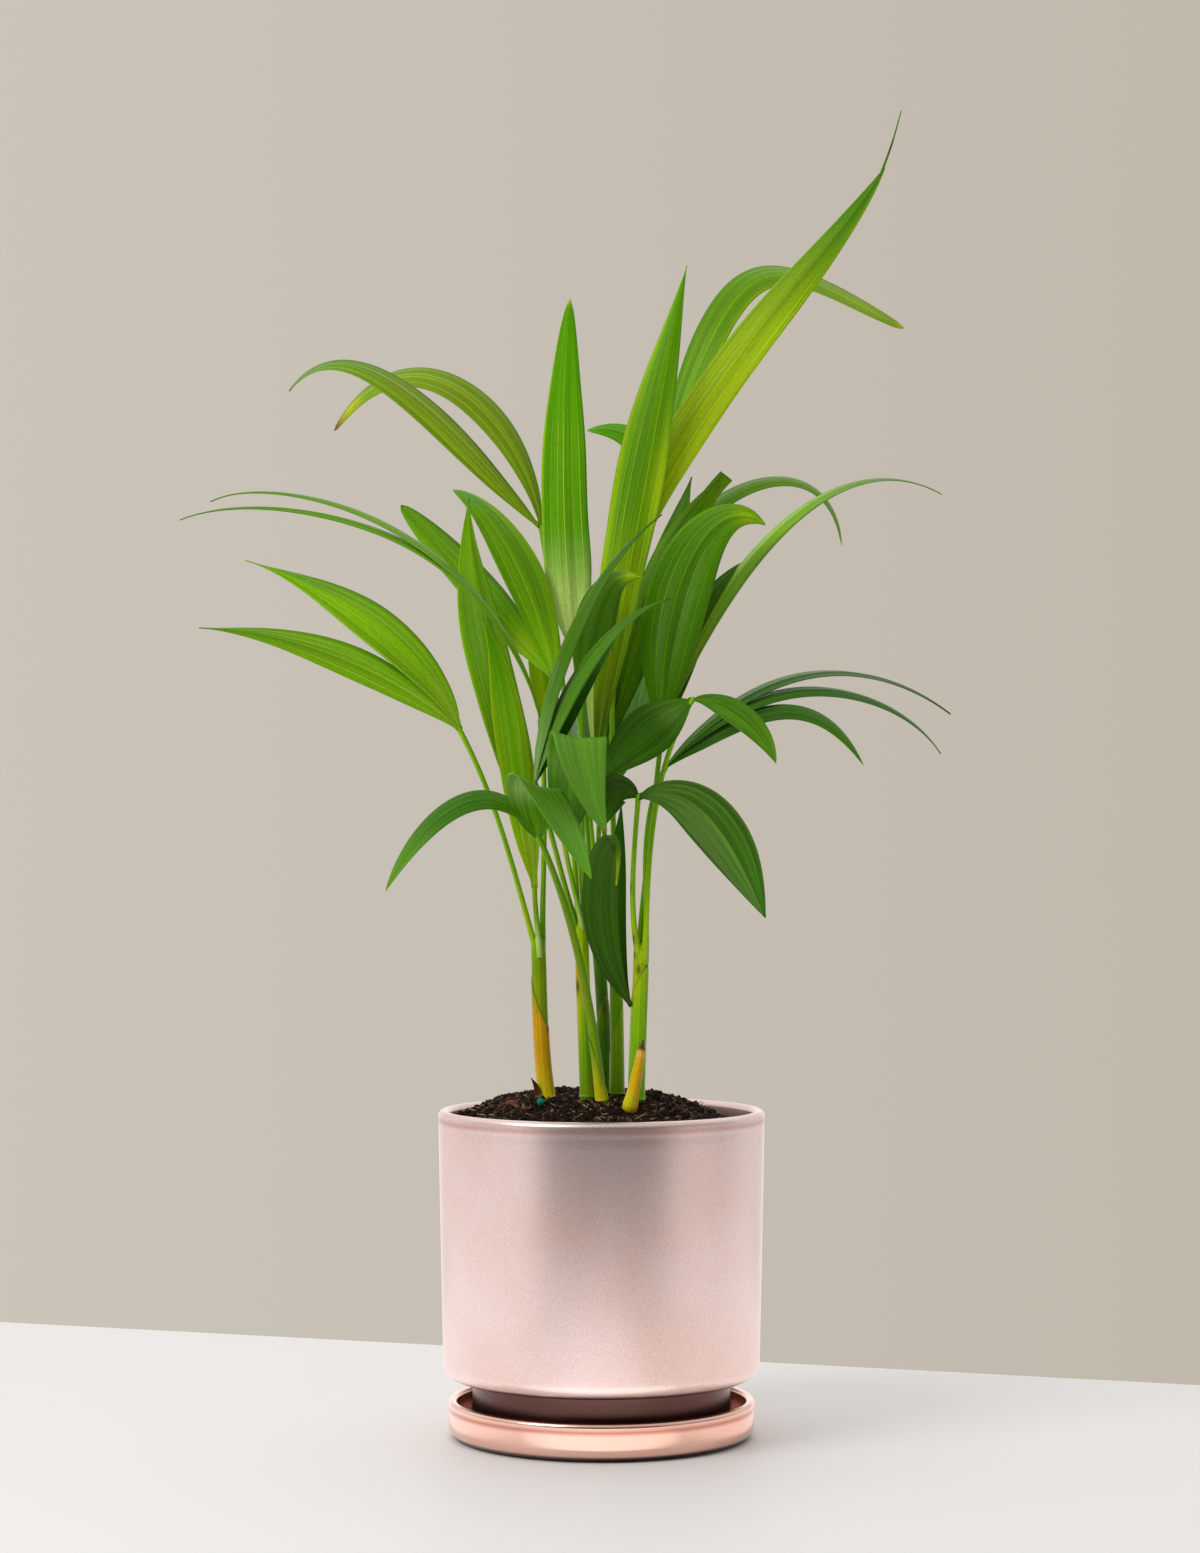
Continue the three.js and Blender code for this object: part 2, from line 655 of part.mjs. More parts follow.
function addLeaf(name, leaf) {
  const material = MATERIALS[leaf.colour];
  if (leaf.seat) add(`stalk_${name}`, limb(stalkCurve(leaf), STALK_RADII, STALK), MATERIALS[leaf.stalk]);
  const hub = hubBeyond(leaf).toArray();
  let frond = toSolid(closed(new THREE.OctahedronGeometry(HUB_RADIUS, 0).translate(...hub)));
  Object.entries(leaf.lobes).forEach(([side, lobe]) => {
    const curve = route(hub, lobe.tip, lobe);
    const parting = lobe.part ?? 1;
    frond = frond.add(toSolid(blade(curve, lobe, 0, parting)));
    if (lobe.part) {
      const shift = curve.getTangentAt(parting).multiplyScalar(GAP);
      const outer = blade(curve, lobe, parting, 1).translate(...shift.toArray());
      add(`frond_${name}_${side}_tip`, outer, material);
    }
    if (lobe.awn) {
      const thread = new THREE.LineCurve3(curve.getPointAt(AWN.from), new THREE.Vector3(...lobe.awn));
      frond = frond.add(toSolid(limb(thread, AWN.radii, { sides: AWN.sides, stations: 2 })));
    }
  });
  add(`frond_${name}`, fromSolid(largest(frond.subtract(carrierOf(leaf)))), material);
}

addSaucer();
addPot();
addSoil();
Object.entries(STEMS).forEach(([name, stem]) => addStem(`stem_${name}`, stem));
addStem('sheath_stub', STUB);
Object.entries(LEAVES).forEach(([name, leaf]) => addLeaf(name, leaf));

export default plant;
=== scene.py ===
# %% [markdown]
# # A potted areca palm
# The real object is a clump of palm seedlings in potting soil, in a glazed ceramic cylinder that
# stands in its own saucer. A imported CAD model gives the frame: this script loads it and grows the
# finer plant around it, in the same place and to the same sizes.

# %% Load the frame
import math
import bpy
import numpy as np
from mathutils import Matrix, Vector, noise


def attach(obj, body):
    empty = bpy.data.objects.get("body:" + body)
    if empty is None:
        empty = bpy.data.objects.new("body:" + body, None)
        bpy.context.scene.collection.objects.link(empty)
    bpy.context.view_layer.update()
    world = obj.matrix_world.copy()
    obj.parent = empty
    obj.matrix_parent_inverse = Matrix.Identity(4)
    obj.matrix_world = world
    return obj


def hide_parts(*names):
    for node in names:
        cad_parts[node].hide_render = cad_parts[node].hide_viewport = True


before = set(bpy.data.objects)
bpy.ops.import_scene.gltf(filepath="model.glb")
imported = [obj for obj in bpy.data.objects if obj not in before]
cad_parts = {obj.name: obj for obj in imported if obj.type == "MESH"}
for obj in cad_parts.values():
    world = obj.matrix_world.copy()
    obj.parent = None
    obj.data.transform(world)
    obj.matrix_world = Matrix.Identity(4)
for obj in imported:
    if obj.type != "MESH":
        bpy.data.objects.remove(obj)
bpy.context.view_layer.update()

# %% [markdown]
# ## Units and colours
# Every size below is in millimetres, as in the CAD source, and one factor turns it to metres.
# Colours are written as the sRGB hex values that a paint chart gives. Cycles adds up light, so it
# needs them linear, and one function does that for all of them.

# %% Units and colours
MM = 0.001


def linear(code):
    """An sRGB hex value as linear red, green and blue."""
    parts = [int(code[i:i + 2], 16) / 255 for i in (1, 3, 5)]
    return np.array([c / 12.92 if c <= 0.04045 else ((c + 0.055) / 1.055) ** 2.4 for c in parts])


def rgba(code):
    """The same with full opacity, as a shader socket takes it."""
    return (*linear(code), 1.0)


def smooth(value, low, high):
    """0 below low, 1 above high and an even step between them."""
    share = np.clip((value - low) / (high - low), 0, 1)
    return share * share * (3 - 2 * share)


def mix(first, second, share):
    """Blends colours by a share for each point."""
    share = np.asarray(share)[..., None]
    return first * (1 - share) + second * share


print("mid grey is", linear("#808080").round(3))

# %% [markdown]
# ## Adding objects and shader nodes
# Every piece has to be linked into the scene, and a material is a small graph. One function adds
# any object. Another adds any node, sets what it is told and links what it is given, so that each
# material further down reads as a short recipe.

# %% Functions that add objects and nodes
def add_object(name, data):
    """Puts a mesh, a lamp or a camera into the scene."""
    made = bpy.data.objects.new(name, data)
    bpy.context.scene.collection.objects.link(made)
    return made


def aim(made, place, target):
    """Stands a lamp or a camera in its place and points it at its target."""
    made.location = Vector(place) * MM
    made.rotation_euler = (Vector(target) - Vector(place)).to_track_quat("-Z", "Y").to_euler()


def node(tree, kind, inputs=(), **settings):
    """Adds a node; inputs maps a socket's name or number to a value or to another node's socket."""
    made = tree.nodes.new(kind)
    for name, value in settings.items():
        setattr(made, name, value)
    for name, value in dict(inputs).items():
        if isinstance(value, bpy.types.NodeSocket):
            tree.links.new(value, made.inputs[name])
        else:
            made.inputs[name].default_value = value
    return made


def new_material(name):
    """An empty material with its output node."""
    material = bpy.data.materials.new(name)
    material.use_nodes = True
    material.node_tree.nodes.clear()
    return material, material.node_tree, node(material.node_tree, "ShaderNodeOutputMaterial")


# %% [markdown]
# ## Camera
# The photograph was taken from a little above the pot's rim with a long lens, tilted up by about
# one degree. A camera could be matched by eye, but the ellipses of the rim, the foot and the saucer
# fix it: their flatness gives the height, and the pot's width in the picture gives the lens.

# %% Camera
FRAME_PIXELS = (1200, 1553)
FOCAL_PIXELS = 3180
SENSOR = 36
CAMERA_PLACE = (-0.6, -1300, 238)
CAMERA_AIM = (-0.6, 0, 268)

camera_data = bpy.data.cameras.new("camera")
camera_data.sensor_width = SENSOR
camera_data.lens = FOCAL_PIXELS * SENSOR / max(FRAME_PIXELS)
camera_data.clip_start = 0.05
camera_data.clip_end = 50
camera = add_object("camera", camera_data)
aim(camera, CAMERA_PLACE, CAMERA_AIM)
bpy.context.scene.camera = camera
bpy.context.scene.view_settings.view_transform = "Standard"
print("lens", round(camera_data.lens, 2), "mm")

# %% [markdown]
# ## The set
# The set is a pale table top whose far edge crosses the picture at a slight slope, with a warm
# grey wall far behind it. The table is one flat face, since nothing of its thickness shows. The
# wall is the world colour that the camera sees. What the glaze mirrors and what lights the leaves
# is a soft studio round the set: dim behind the camera, with bright soft boxes to the left, to the
# right, overhead and behind the plant. One large lamp on the left gives the pot its faint shadow.

# %% Table top
TABLE_EDGE = ((-304, 310), (268, 120))
TABLE_REACH = 3200
TABLE_DROP = 0.05


def plate(name, corners):
    """One flat face through four corners."""
    mesh = bpy.data.meshes.new(name)
    mesh.from_pydata([tuple(c * MM for c in corner) for corner in corners], [], [(0, 1, 2, 3)])
    return add_object(name, mesh)


def table_top():
    """A flat plate whose far edge runs through two points."""
    (ax, ay), (bx, by) = TABLE_EDGE
    slope = (by - ay) / (bx - ax)
    far = [(x, ay + slope * (x - ax)) for x in (TABLE_REACH, -TABLE_REACH)]
    near = [(-TABLE_REACH, -TABLE_REACH), (TABLE_REACH, -TABLE_REACH)]
    return plate("table", [(x, y, -TABLE_DROP) for x, y in near + far])


table = table_top()
# Matt lacquer on a board: it spreads the light and keeps only a dull sheen
lacquer, tree, output = new_material("matt table lacquer")
skin = node(tree, "ShaderNodeBsdfPrincipled", {"Base Color": rgba("#ebe9e8"), "Roughness": 0.6})
tree.links.new(skin.outputs[0], output.inputs[0])
table.data.materials.append(lacquer)
print("table edge from", TABLE_EDGE[0], "to", TABLE_EDGE[1])

# %% [markdown]
# ## Studio light
# A studio could be built from area lamps alone, but each would show in the glaze as a hard square.
# A world whose brightness rises and falls smoothly with direction gives soft bands instead, and
# costs no render time. One lamp is enough then, to give the shadow.

# %% Studio light
WALL_LEFT, WALL_RIGHT = "#cbc4b9", "#c0b8ab"
# How far the view turns sideways at the wall's end tones, as the direction's share along X
WALL_SPAN = 0.19
# Brightness of the studio where no soft box shines
DIM = 0.21
SOFT_BOXES = [
    # axis of the direction, where the box begins on it and where it is brightest, strength
    ("Y", -0.1, 0.9, 0.57),
    ("Y", 0.86, 0.99, 0.55),
    ("Z", 0.25, 0.95, 0.58),
    ("X", -0.30, -0.95, 0.40),
    ("X", 0.35, 0.98, 0.22),
]
LAMP_PLACE = (-1150, -950, 1350)
LAMP_AIM = (0, 0, 150)
LAMP_SIZE = 900
LAMP_POWER = 13

world = bpy.data.worlds.new("studio")
bpy.context.scene.world = world
world.use_nodes = True
tree = world.node_tree
tree.nodes.clear()
direction = node(tree, "ShaderNodeTexCoord").outputs["Generated"]
axes = node(tree, "ShaderNodeSeparateXYZ", {0: direction}).outputs
level = None
for axis, low, high, strength in SOFT_BOXES:
    box = node(tree, "ShaderNodeMapRange",
               {"Value": axes[axis], "From Min": low, "From Max": high, "To Min": 0, "To Max": strength},
               interpolation_type="SMOOTHSTEP").outputs[0]
    level = box if level is None else node(tree, "ShaderNodeMath", {0: level, 1: box}).outputs[0]
level = node(tree, "ShaderNodeMath", {0: level, 1: DIM}).outputs[0]
surround = node(tree, "ShaderNodeBackground", {"Color": rgba("#fffdfb"), "Strength": level}).outputs[0]
sideways = node(tree, "ShaderNodeMapRange",
                {"Value": axes["X"], "From Min": -WALL_SPAN, "From Max": WALL_SPAN}).outputs[0]
wall_tone = node(tree, "ShaderNodeMix", {"Factor": sideways, 6: rgba(WALL_LEFT), 7: rgba(WALL_RIGHT)},
                 data_type="RGBA").outputs[2]
wall = node(tree, "ShaderNodeBackground", {"Color": wall_tone}).outputs[0]
seen = node(tree, "ShaderNodeLightPath").outputs["Is Camera Ray"]
both = node(tree, "ShaderNodeMixShader", {0: seen, 1: surround, 2: wall}).outputs[0]
node(tree, "ShaderNodeOutputWorld", {0: both})

lamp_data = bpy.data.lights.new("lamp", "AREA")
lamp_data.size = LAMP_SIZE * MM
lamp_data.energy = LAMP_POWER
lamp = add_object("lamp", lamp_data)
aim(lamp, LAMP_PLACE, LAMP_AIM)
lamp.visible_camera = False
print("soft boxes", len(SOFT_BOXES), "and one lamp")

# %% [markdown]
# ## Cards for the glaze
# A metallic glaze shows what stands round it, so a photographer sets cards out of the picture. A
# dark flag in front makes the darker band down the middle of the pot. Bright cards that lie on the
# table, in front of the pot and at both its sides, make the glow at its foot and on the saucer.
# Only reflections see them.

# %% Cards
CARDS = {
    # from x, to x, near y, far y, low z, high z, colour, strength. A card shines from its face
    # only, and the flag runs from right to left so that its face is turned to the pot.
    "dark_flag": (370, -320, -365, -365, 27, 190, "#444244", 1.0),
    "front_card": (-75, 75, -75, -360, 0.6, 0.6, "#fffdfc", 1.55),
    "left_card": (-700, -75, 300, -360, 0.6, 0.6, "#fffdfc", 1.2),
    "right_card": (75, 700, 300, -360, 0.6, 0.6, "#fffaf7", 1.12),
}


def card(name, left, right, near, far, low, high, colour, strength):
    """A flat card that only reflections see, and only on its face."""
    made = plate(name, [(left, far, low), (right, far, low), (right, near, high), (left, near, high)])
    material, tree, output = new_material(name)
    glow = node(tree, "ShaderNodeEmission", {"Color": rgba(colour), "Strength": strength})
    clear = node(tree, "ShaderNodeBsdfTransparent")
    back = node(tree, "ShaderNodeNewGeometry").outputs["Backfacing"]
    facing = node(tree, "ShaderNodeMixShader", {0: back, 1: glow.outputs[0], 2: clear.outputs[0]})
    tree.links.new(facing.outputs[0], output.inputs[0])
    made.data.materials.append(material)
    for ray in ("camera", "diffuse", "transmission", "volume_scatter", "shadow"):
        setattr(made, f"visible_{ray}", False)


for name, size in CARDS.items():
    card(name, *size)
print("cards", len(CARDS))

# %% [markdown]
# ## Building meshes
# Nearly every piece here is a closed skin over a row of rings: a stem is round rings on a curve,
# a pot is rings on its axis, and a leaf lobe is flat rings that go out along its upper face and
# back along its lower one. So one small store collects rings with their colour and their place on
# the surface, and makes one mesh. The colour goes into a colour attribute and the place into a UV
# map, because both follow the piece wherever it bends.

# %% A store for skins
# Millimetres along a skin that make one unit of its surface map
UV_STRIP = 100


class Skins:
    """Collects closed skins and makes one piece of them."""

    def __init__(self):
        self.points, self.tints, self.faces, self.places = [], [], [], []
        self.count = 0

    def add(self, rings, tints, across, along, flat):
        """rings: rows x ring x 3. across: place round the ring. along: place of each row. flat: a
        sheet, whose ends are zipped, or else a tube, whose ends are fans."""
        rows, size = rings.shape[:2]
        base = self.count
        grid = base + np.arange(rows * size).reshape(rows, size)
        faces, places = [], []
        wrapped = np.append(across, across[0] if flat else 1.0)
        for row in range(rows - 1):
            for i in range(size):
                j = (i + 1) % size
                faces.append((grid[row, i], grid[row, j], grid[row + 1, j], grid[row + 1, i]))
                places += [(wrapped[i], along[row]), (wrapped[i + 1], along[row]),
                           (wrapped[i + 1], along[row + 1]), (wrapped[i], along[row + 1])]
        if flat:
            ends = [(i, i + 1, size - 2 - i, size - 1 - i) for i in range(size // 2 - 1)]
        else:
            ends = [range(size)]
        for row, order in ((0, -1), (rows - 1, 1)):
            for face in ends:
                faces.append(tuple(grid[row, k] for k in face[::order]))
                places += [(across[k], along[row]) for k in face[::order]]
        points = rings.reshape(-1, 3)
        self.face_outwards(points, base, faces, places)
        self.points.append(points)
        self.tints.append(tints.reshape(-1, 3))
        self.faces += faces
        self.places += places
        self.count += rows * size

    @staticmethod
    def face_outwards(points, base, faces, places):
        """Turns every face round if the skin's volume comes out negative."""
        quads = np.array([face for face in faces if len(face) == 4])
        a, b, c, d = (points[quads[:, k] - base] for k in range(4))
        volume = np.einsum("ij,ij->", a, np.cross(b, c)) + np.einsum("ij,ij->", a, np.cross(c, d))
        if volume < 0:
            start = 0
            for k, face in enumerate(faces):
                faces[k] = face[::-1]
                places[start:start + len(face)] = places[start:start + len(face)][::-1]
                start += len(face)

    def piece(self, name, material, nodes):
        """Makes the mesh with its finish, and hides the CAD nodes that it stands for."""
        mesh = bpy.data.meshes.new(name)
        mesh.from_pydata((np.concatenate(self.points) * MM).tolist(), [],
                         [tuple(int(k) for k in face) for face in self.faces])
        uv = mesh.uv_layers.new(name="surface")
        uv.data.foreach_set("uv", np.array(self.places, np.float32).ravel())
        tint = mesh.color_attributes.new(name="tint", type="FLOAT_COLOR", domain="POINT")
        colours = np.concatenate(self.tints)
        colours = np.c_[np.clip(colours, 0, 1), np.ones(len(colours))]
        tint.data.foreach_set("color", colours.astype(np.float32).ravel())
        mesh.polygons.foreach_set("use_smooth", np.ones(len(mesh.polygons), bool))
        mesh.materials.append(material)
        mesh.update()
        made = add_object(name, mesh)
        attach(made, "root")
        if nodes:
            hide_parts(*nodes)
        return made


print("one unit of the surface map is", UV_STRIP, "mm of skin")

# %% [markdown]
# ## The pot and its saucer
# Both are thrown or cast on an axis, dipped in a metallic glaze and fired. In Blender a turned
# shape could come from a Screw modifier or from Spin. Here its profile is a row of points, and
# each point makes a ring. The lip has a fine round edge with a shallow hollow under it, where the
# glaze thins, and the corner over the foot is rounded. The sizes are those of the CAD source.

# %% Profiles of the pot and saucer
# Air that the CAD source leaves between two solids
GAP = 0.3
TURNS = 192
# A flat face closes each turned skin this near to its axis
AXIS_HOLE = 0.5
SAUCER = dict(radius=62.2, height=15.3, foot=55.5, corner=5.5, corner_from=-62,
              lip=1.8, wall_lean=0.6, fillet=2.2, floor=4)
POT = dict(rim=66.5, height=132.3, lip=2.3, wall_foot=64.4, corner=6, underside=24.2,
           foot=52.5, chamfer=1.5, notch=0.8, inside=47, floor=6)
POT_SEAT = SAUCER["floor"] + GAP


def arc(middle, height, radius, low, high, steps):
    """Points on part of a circle, by angles in degrees."""
    turns = np.radians(np.linspace(low, high, steps + 1))
    return [(middle + radius * math.cos(t), height + radius * math.sin(t)) for t in turns]


def climb(start, end, steps, hollows=()):
    """Points between start and end, with shallow hollows as (height, width, depth)."""
    points = []
    for share in np.linspace(0, 1, steps + 1)[1:-1]:
        radius = start[0] + (end[0] - start[0]) * share
        height = start[1] + (end[1] - start[1]) * share
        for middle, width, depth in hollows:
            radius -= depth * math.exp(-((height - middle) / width) ** 2)
        points.append((radius, height))
    return points


def saucer_profile():
    """From the middle of the underside, over the lip, to the middle of the floor."""
    s = SAUCER
    crest = s["radius"] - s["lip"]
    wall = crest - s["lip"] - s["wall_lean"]
    outside = arc(s["radius"] - s["corner"], s["corner"], s["corner"], s["corner_from"], 0, 12)
    lip = arc(crest, s["height"] - s["lip"], s["lip"], 0, 180, 20)
    fillet = arc(wall - s["fillet"], s["floor"] + s["fillet"], s["fillet"], 0, -90, 8)
    return ([(AXIS_HOLE, 0), (s["foot"], 0)] + outside + climb(outside[-1], lip[0], 5)
            + lip + climb(lip[-1], fillet[0], 4) + fillet + [(30, s["floor"]), (AXIS_HOLE, s["floor"])])


def pot_profile():
    """From the middle of the underside, over the foot and the lip, to the middle of the floor."""
    p = POT
    crest = p["rim"] - p["lip"]
    shoulder = p["underside"] + p["corner"]
    corner = arc(p["wall_foot"] - p["corner"], shoulder, p["corner"], -90, 0, 14)
    lip = arc(crest, p["height"] - p["lip"], p["lip"], 0, 180, 24)
    inner_foot = (p["wall_foot"] - 2 * p["lip"], shoulder)
    hollows = [(p["height"] - 6.2, 1.5, 0.1)]
    foot_edge = (p["foot"], POT_SEAT + p["chamfer"])
    notch = p["notch"]
    return ([(AXIS_HOLE, POT_SEAT), (p["foot"] - p["chamfer"], POT_SEAT), foot_edge]
            + climb(foot_edge, (p["foot"], p["underside"] - notch), 6)
            + arc(p["foot"] + notch, p["underside"] - notch, notch, 180, 90, 4) + corner
            + climb(corner[-1], lip[0], 60, hollows) + lip + climb(lip[-1], inner_foot, 12)
            + [inner_foot, (p["inside"], p["underside"]), (p["inside"], POT_SEAT + p["floor"]),
               (AXIS_HOLE, POT_SEAT + p["floor"])])


def turned(profile):
    """Rings round the axis for each point of a profile, with the length along it."""
    profile = np.array(profile)
    turns = np.linspace(0, 2 * math.pi, TURNS, endpoint=False)
    rings = np.stack([np.outer(profile[:, 0], np.cos(turns)), np.outer(profile[:, 0], np.sin(turns)),
                      np.repeat(profile[:, 1:], TURNS, 1)], -1)
    steps = np.hypot(*np.diff(profile, axis=0).T)
    return rings, np.append(0, np.cumsum(steps))


print("pot profile", len(pot_profile()), "points, saucer profile", len(saucer_profile()))

# %% [markdown]
# ## Metallic glaze
# The glaze holds metal, so it mirrors like polished rose gold under a thin clear coat, but its
# surface has a fine grain like an orange peel that spreads the reflections. The grain is real at
# about half a millimetre. The saucer has the same glaze, fired smoother and more coppery.

# %% Glaze materials
GRAIN_SIZE, GRAIN_DEPTH = 0.55, 0.06
CLOUD_SIZE = 45.5


def glaze(name, colour, warm, roughness, grain, coat):
    """A satin metal glaze with a fine grain in its colour and its surface."""
    material, tree, output = new_material(name)
    place = node(tree, "ShaderNodeTexCoord").outputs["Object"]
    # The tint holds the painted shade at the foot and the painted reflection below the brim
    fired = node(tree, "ShaderNodeVertexColor", layer_name="tint").outputs["Color"]
    speckle = node(tree, "ShaderNodeTexNoise", {"Vector": place, "Scale": 1 / (GRAIN_SIZE * MM),
                                                "Detail": 3, "Roughness": 0.65}).outputs[0]
    cloud = node(tree, "ShaderNodeTexNoise",
                 {"Vector": place, "Scale": 1 / (CLOUD_SIZE * MM), "Detail": 2}).outputs[0]
    drift = node(tree, "ShaderNodeMapRange", {"Value": cloud, "From Min": 0.3, "From Max": 0.7}).outputs[0]
    tone = node(tree, "ShaderNodeMix", {"Factor": drift, 6: rgba(colour), 7: rgba(warm)},
                data_type="RGBA").outputs[2]
    depth = node(tree, "ShaderNodeMapRange", {"Value": speckle, "From Min": 0.25, "From Max": 0.75,
                                              "To Min": 1 - grain, "To Max": 1}).outputs[0]
    speckled = node(tree, "ShaderNodeMix", {"Factor": 1.0, 6: tone, 7: depth},
                    data_type="RGBA", blend_type="MULTIPLY").outputs[2]
    painted = node(tree, "ShaderNodeMix", {"Factor": 1.0, 6: speckled, 7: fired},
                   data_type="RGBA", blend_type="MULTIPLY").outputs[2]
    peel = node(tree, "ShaderNodeBump",
                {"Height": speckle, "Strength": 0.25, "Distance": GRAIN_DEPTH * MM}).outputs[0]
    skin = node(tree, "ShaderNodeBsdfPrincipled",
                {"Base Color": painted, "Metallic": 1.0, "Roughness": roughness,
                 "Coat Weight": coat, "Coat Roughness": 0.12, "Normal": peel})
    tree.links.new(skin.outputs[0], output.inputs[0])
    return material


# A satin metal glaze: it mirrors the studio in soft broad bands and glitters a little
ROSE_GLAZE = glaze("rose gold satin glaze", "#fbe4e1", "#f6d6cd", roughness=0.36, grain=0.3, coat=0.12)
# The same glaze fired smooth: its mirrored bands have sharper edges, and it looks wet
COPPER_GLAZE = glaze("copper glaze, fired smooth", "#f2c7b7", "#edbba9", roughness=0.22, grain=0.05, coat=0.2)
print("glazes", ROSE_GLAZE.name, "and", COPPER_GLAZE.name)

# %% [markdown]
# ## Turning the pot and the saucer
# The pot's foot stands inside the saucer and shows as a dark ring, and so does the saucer's own
# lower edge: both are painted shade, where little light gets in. Just below the brim a thin
# browner band is a painted reflection. All of them are painted by height into the tint, so they
# need no picture.

# %% Make the pot and saucer
# Painted shade for the pot's foot and the saucer's lower edge, and a painted reflection below the brim
FOOT_SHADE_TINT, BRIM_REFLECTION_TINT = "#6a5350", "#c9a397"
FOOT_SHADE_FADE = 1.4
SAUCER_SHADE_HEIGHT = 1.4
INSIDE_RADIUS, OUTSIDE_RADIUS = 50, 55
# Depth under the top and reach of the band of painted reflection below the brim
BRIM_DROP, BRIM_REACH = 3.4, 0.8


def turned_piece(name, profile, material, cad_node, shaded_up_to):
    """Up to the height it is given, the outside is painted darker as shade. From there the painted shade
    fades out.
    """
    rings, along = turned(profile)
    height, away = rings[..., 2], np.hypot(rings[..., 0], rings[..., 1])
    # Painted shade: the outside is darker up to the given height and fades out above it
    unshaded = smooth(height, shaded_up_to, shaded_up_to + FOOT_SHADE_FADE)
    unshaded = np.maximum(unshaded, away < INSIDE_RADIUS)
    tints = mix(linear(FOOT_SHADE_TINT), np.ones(3), unshaded)
    # Painted reflection: a thin darker, browner band just below the brim, on the outside
    below_brim = height - height.max() + BRIM_DROP
    thin = np.exp(-(below_brim / BRIM_REACH) ** 2) * (away > OUTSIDE_RADIUS)
    tints = mix(tints, tints * linear(BRIM_REFLECTION_TINT), thin)
    skins = Skins()
    skins.add(rings, tints, np.arange(TURNS) / TURNS, along / UV_STRIP, flat=False)
    made = skins.piece(name, material, [cad_node])
    print(name, "faces", len(made.data.polygons))
    return made


turned_piece("pot_body", pot_profile(), ROSE_GLAZE, "pot", POT["underside"])
turned_piece("saucer_dish", saucer_profile(), COPPER_GLAZE, "saucer", SAUCER_SHADE_HEIGHT)

# %% [markdown]
# ## The soil
# Peat and composted bark, heaped round the stems. A sculpted plane could give its shape, but its
# height has to follow the CAD source, so it is worked out by the same rule, and small lumps of
# noise are added to it. The crumbs that lie on it come in the cells after this one.

# %% Mound
SOIL = dict(edge=125.5, crown=13, x=-6, y=2, reach=66, roughness=0.7,
            waves=((0.31, 0.17, 0), (-0.13, 0.37, 1)),
            heaps=((21, -12, 7, 3.4), (33, 4, 8, 1.6), (-17, 12, 9, 1.4), (-36, -8, 8, 1.2), (4, 34, 9, 1.4)))
# Waves to the millimetre, height, layer of the noise
LUMPS = ((0.16, 1.0, 3.1), (0.55, 0.7, 7.7))
LUMPS_DROP = -0.2
MOUND_RADIUS = 61.6
MOUND_HOLE = 0.004
MOUND_RINGS, MOUND_TURNS = 90, 220
SKIRT_SHARE, SKIRT_FOOT = 0.96, 110


def soil_height(x, y):
    """The soil's surface by the CAD source's own rule."""
    away = np.minimum(1, np.hypot(x - SOIL["x"], y - SOIL["y"]) / SOIL["reach"])
    ripple = sum(np.sin(a * x + b * y + c) for a, b, c in SOIL["waves"])
    crown = SOIL["crown"] * (0.5 + 0.5 * np.cos(math.pi * away ** 2))
    heaped = sum(rise * np.exp(-((x - at_x) ** 2 + (y - at_y) ** 2) / wide ** 2)
                 for at_x, at_y, wide, rise in SOIL["heaps"])
    return SOIL["edge"] + crown + SOIL["roughness"] * ripple * away + heaped


def lumps(x, y):
    """Small heaps and hollows between the crumbs."""
    return sum(rise * noise.noise(Vector((x * waves, y * waves, layer)))
               for waves, rise, layer in LUMPS) + LUMPS_DROP


def mound():
    """Rings from the wall to the middle, with a skirt that goes down inside the pot."""
    rows = []
    for share in np.linspace(1, MOUND_HOLE, MOUND_RINGS):
        ring = []
        for turn in np.linspace(0, 2 * math.pi, MOUND_TURNS, endpoint=False):
            x, y = MOUND_RADIUS * share * math.cos(turn), MOUND_RADIUS * share * math.sin(turn)
            ring.append((x, y, float(soil_height(x, y)) + lumps(x, y)))
        rows.append(ring)
    skirt = [(x * SKIRT_SHARE, y * SKIRT_SHARE, SKIRT_FOOT) for x, y, z in rows[0]]
    return np.array([skirt] + rows)


rings = mound()
print("mound", rings.shape[0], "rings, top at", round(float(rings[..., 2].max()), 1), "mm")

# %% [markdown]
# ## Soil materials
# Damp peat is nearly black and dry bark is brown. A wet crumb has hardly any gloss, so each of
# these is a dull skin whose colour wanders between two tones, with little reflection. The gaps
# between the crumbs stay dark by themselves, because the light has to bounce to get there.

# %% Soil materials
def matt(name, colour, other, patch):
    """A dull crumb whose colour wanders between two tones in patches of a size in millimetres."""
    material, tree, output = new_material(name)
    place = node(tree, "ShaderNodeTexCoord").outputs["Object"]
    blotch = node(tree, "ShaderNodeTexNoise",
                  {"Vector": place, "Scale": 1 / (patch * MM), "Detail": 2}).outputs[0]
    share = node(tree, "ShaderNodeMapRange", {"Value": blotch, "From Min": 0.35, "From Max": 0.65}).outputs[0]
    tone = node(tree, "ShaderNodeMix", {"Factor": share, 6: rgba(colour), 7: rgba(other)},
                data_type="RGBA").outputs[2]
    skin = node(tree, "ShaderNodeBsdfPrincipled",
                {"Base Color": tone, "Roughness": 0.85, "Specular IOR Level": 0.15})
    tree.links.new(skin.outputs[0], output.inputs[0])
    return material


# Damp peat is nearly black: it makes the depth between the crumbs
PEAT = matt("damp peat", "#0b0705", "#20140d", 1.11)
# Dark crumbs of peat swallow most of the light too, and break up the surface
PEAT_CRUMB = matt("dark peat crumb", "#0d0806", "#35231a", 2.38)
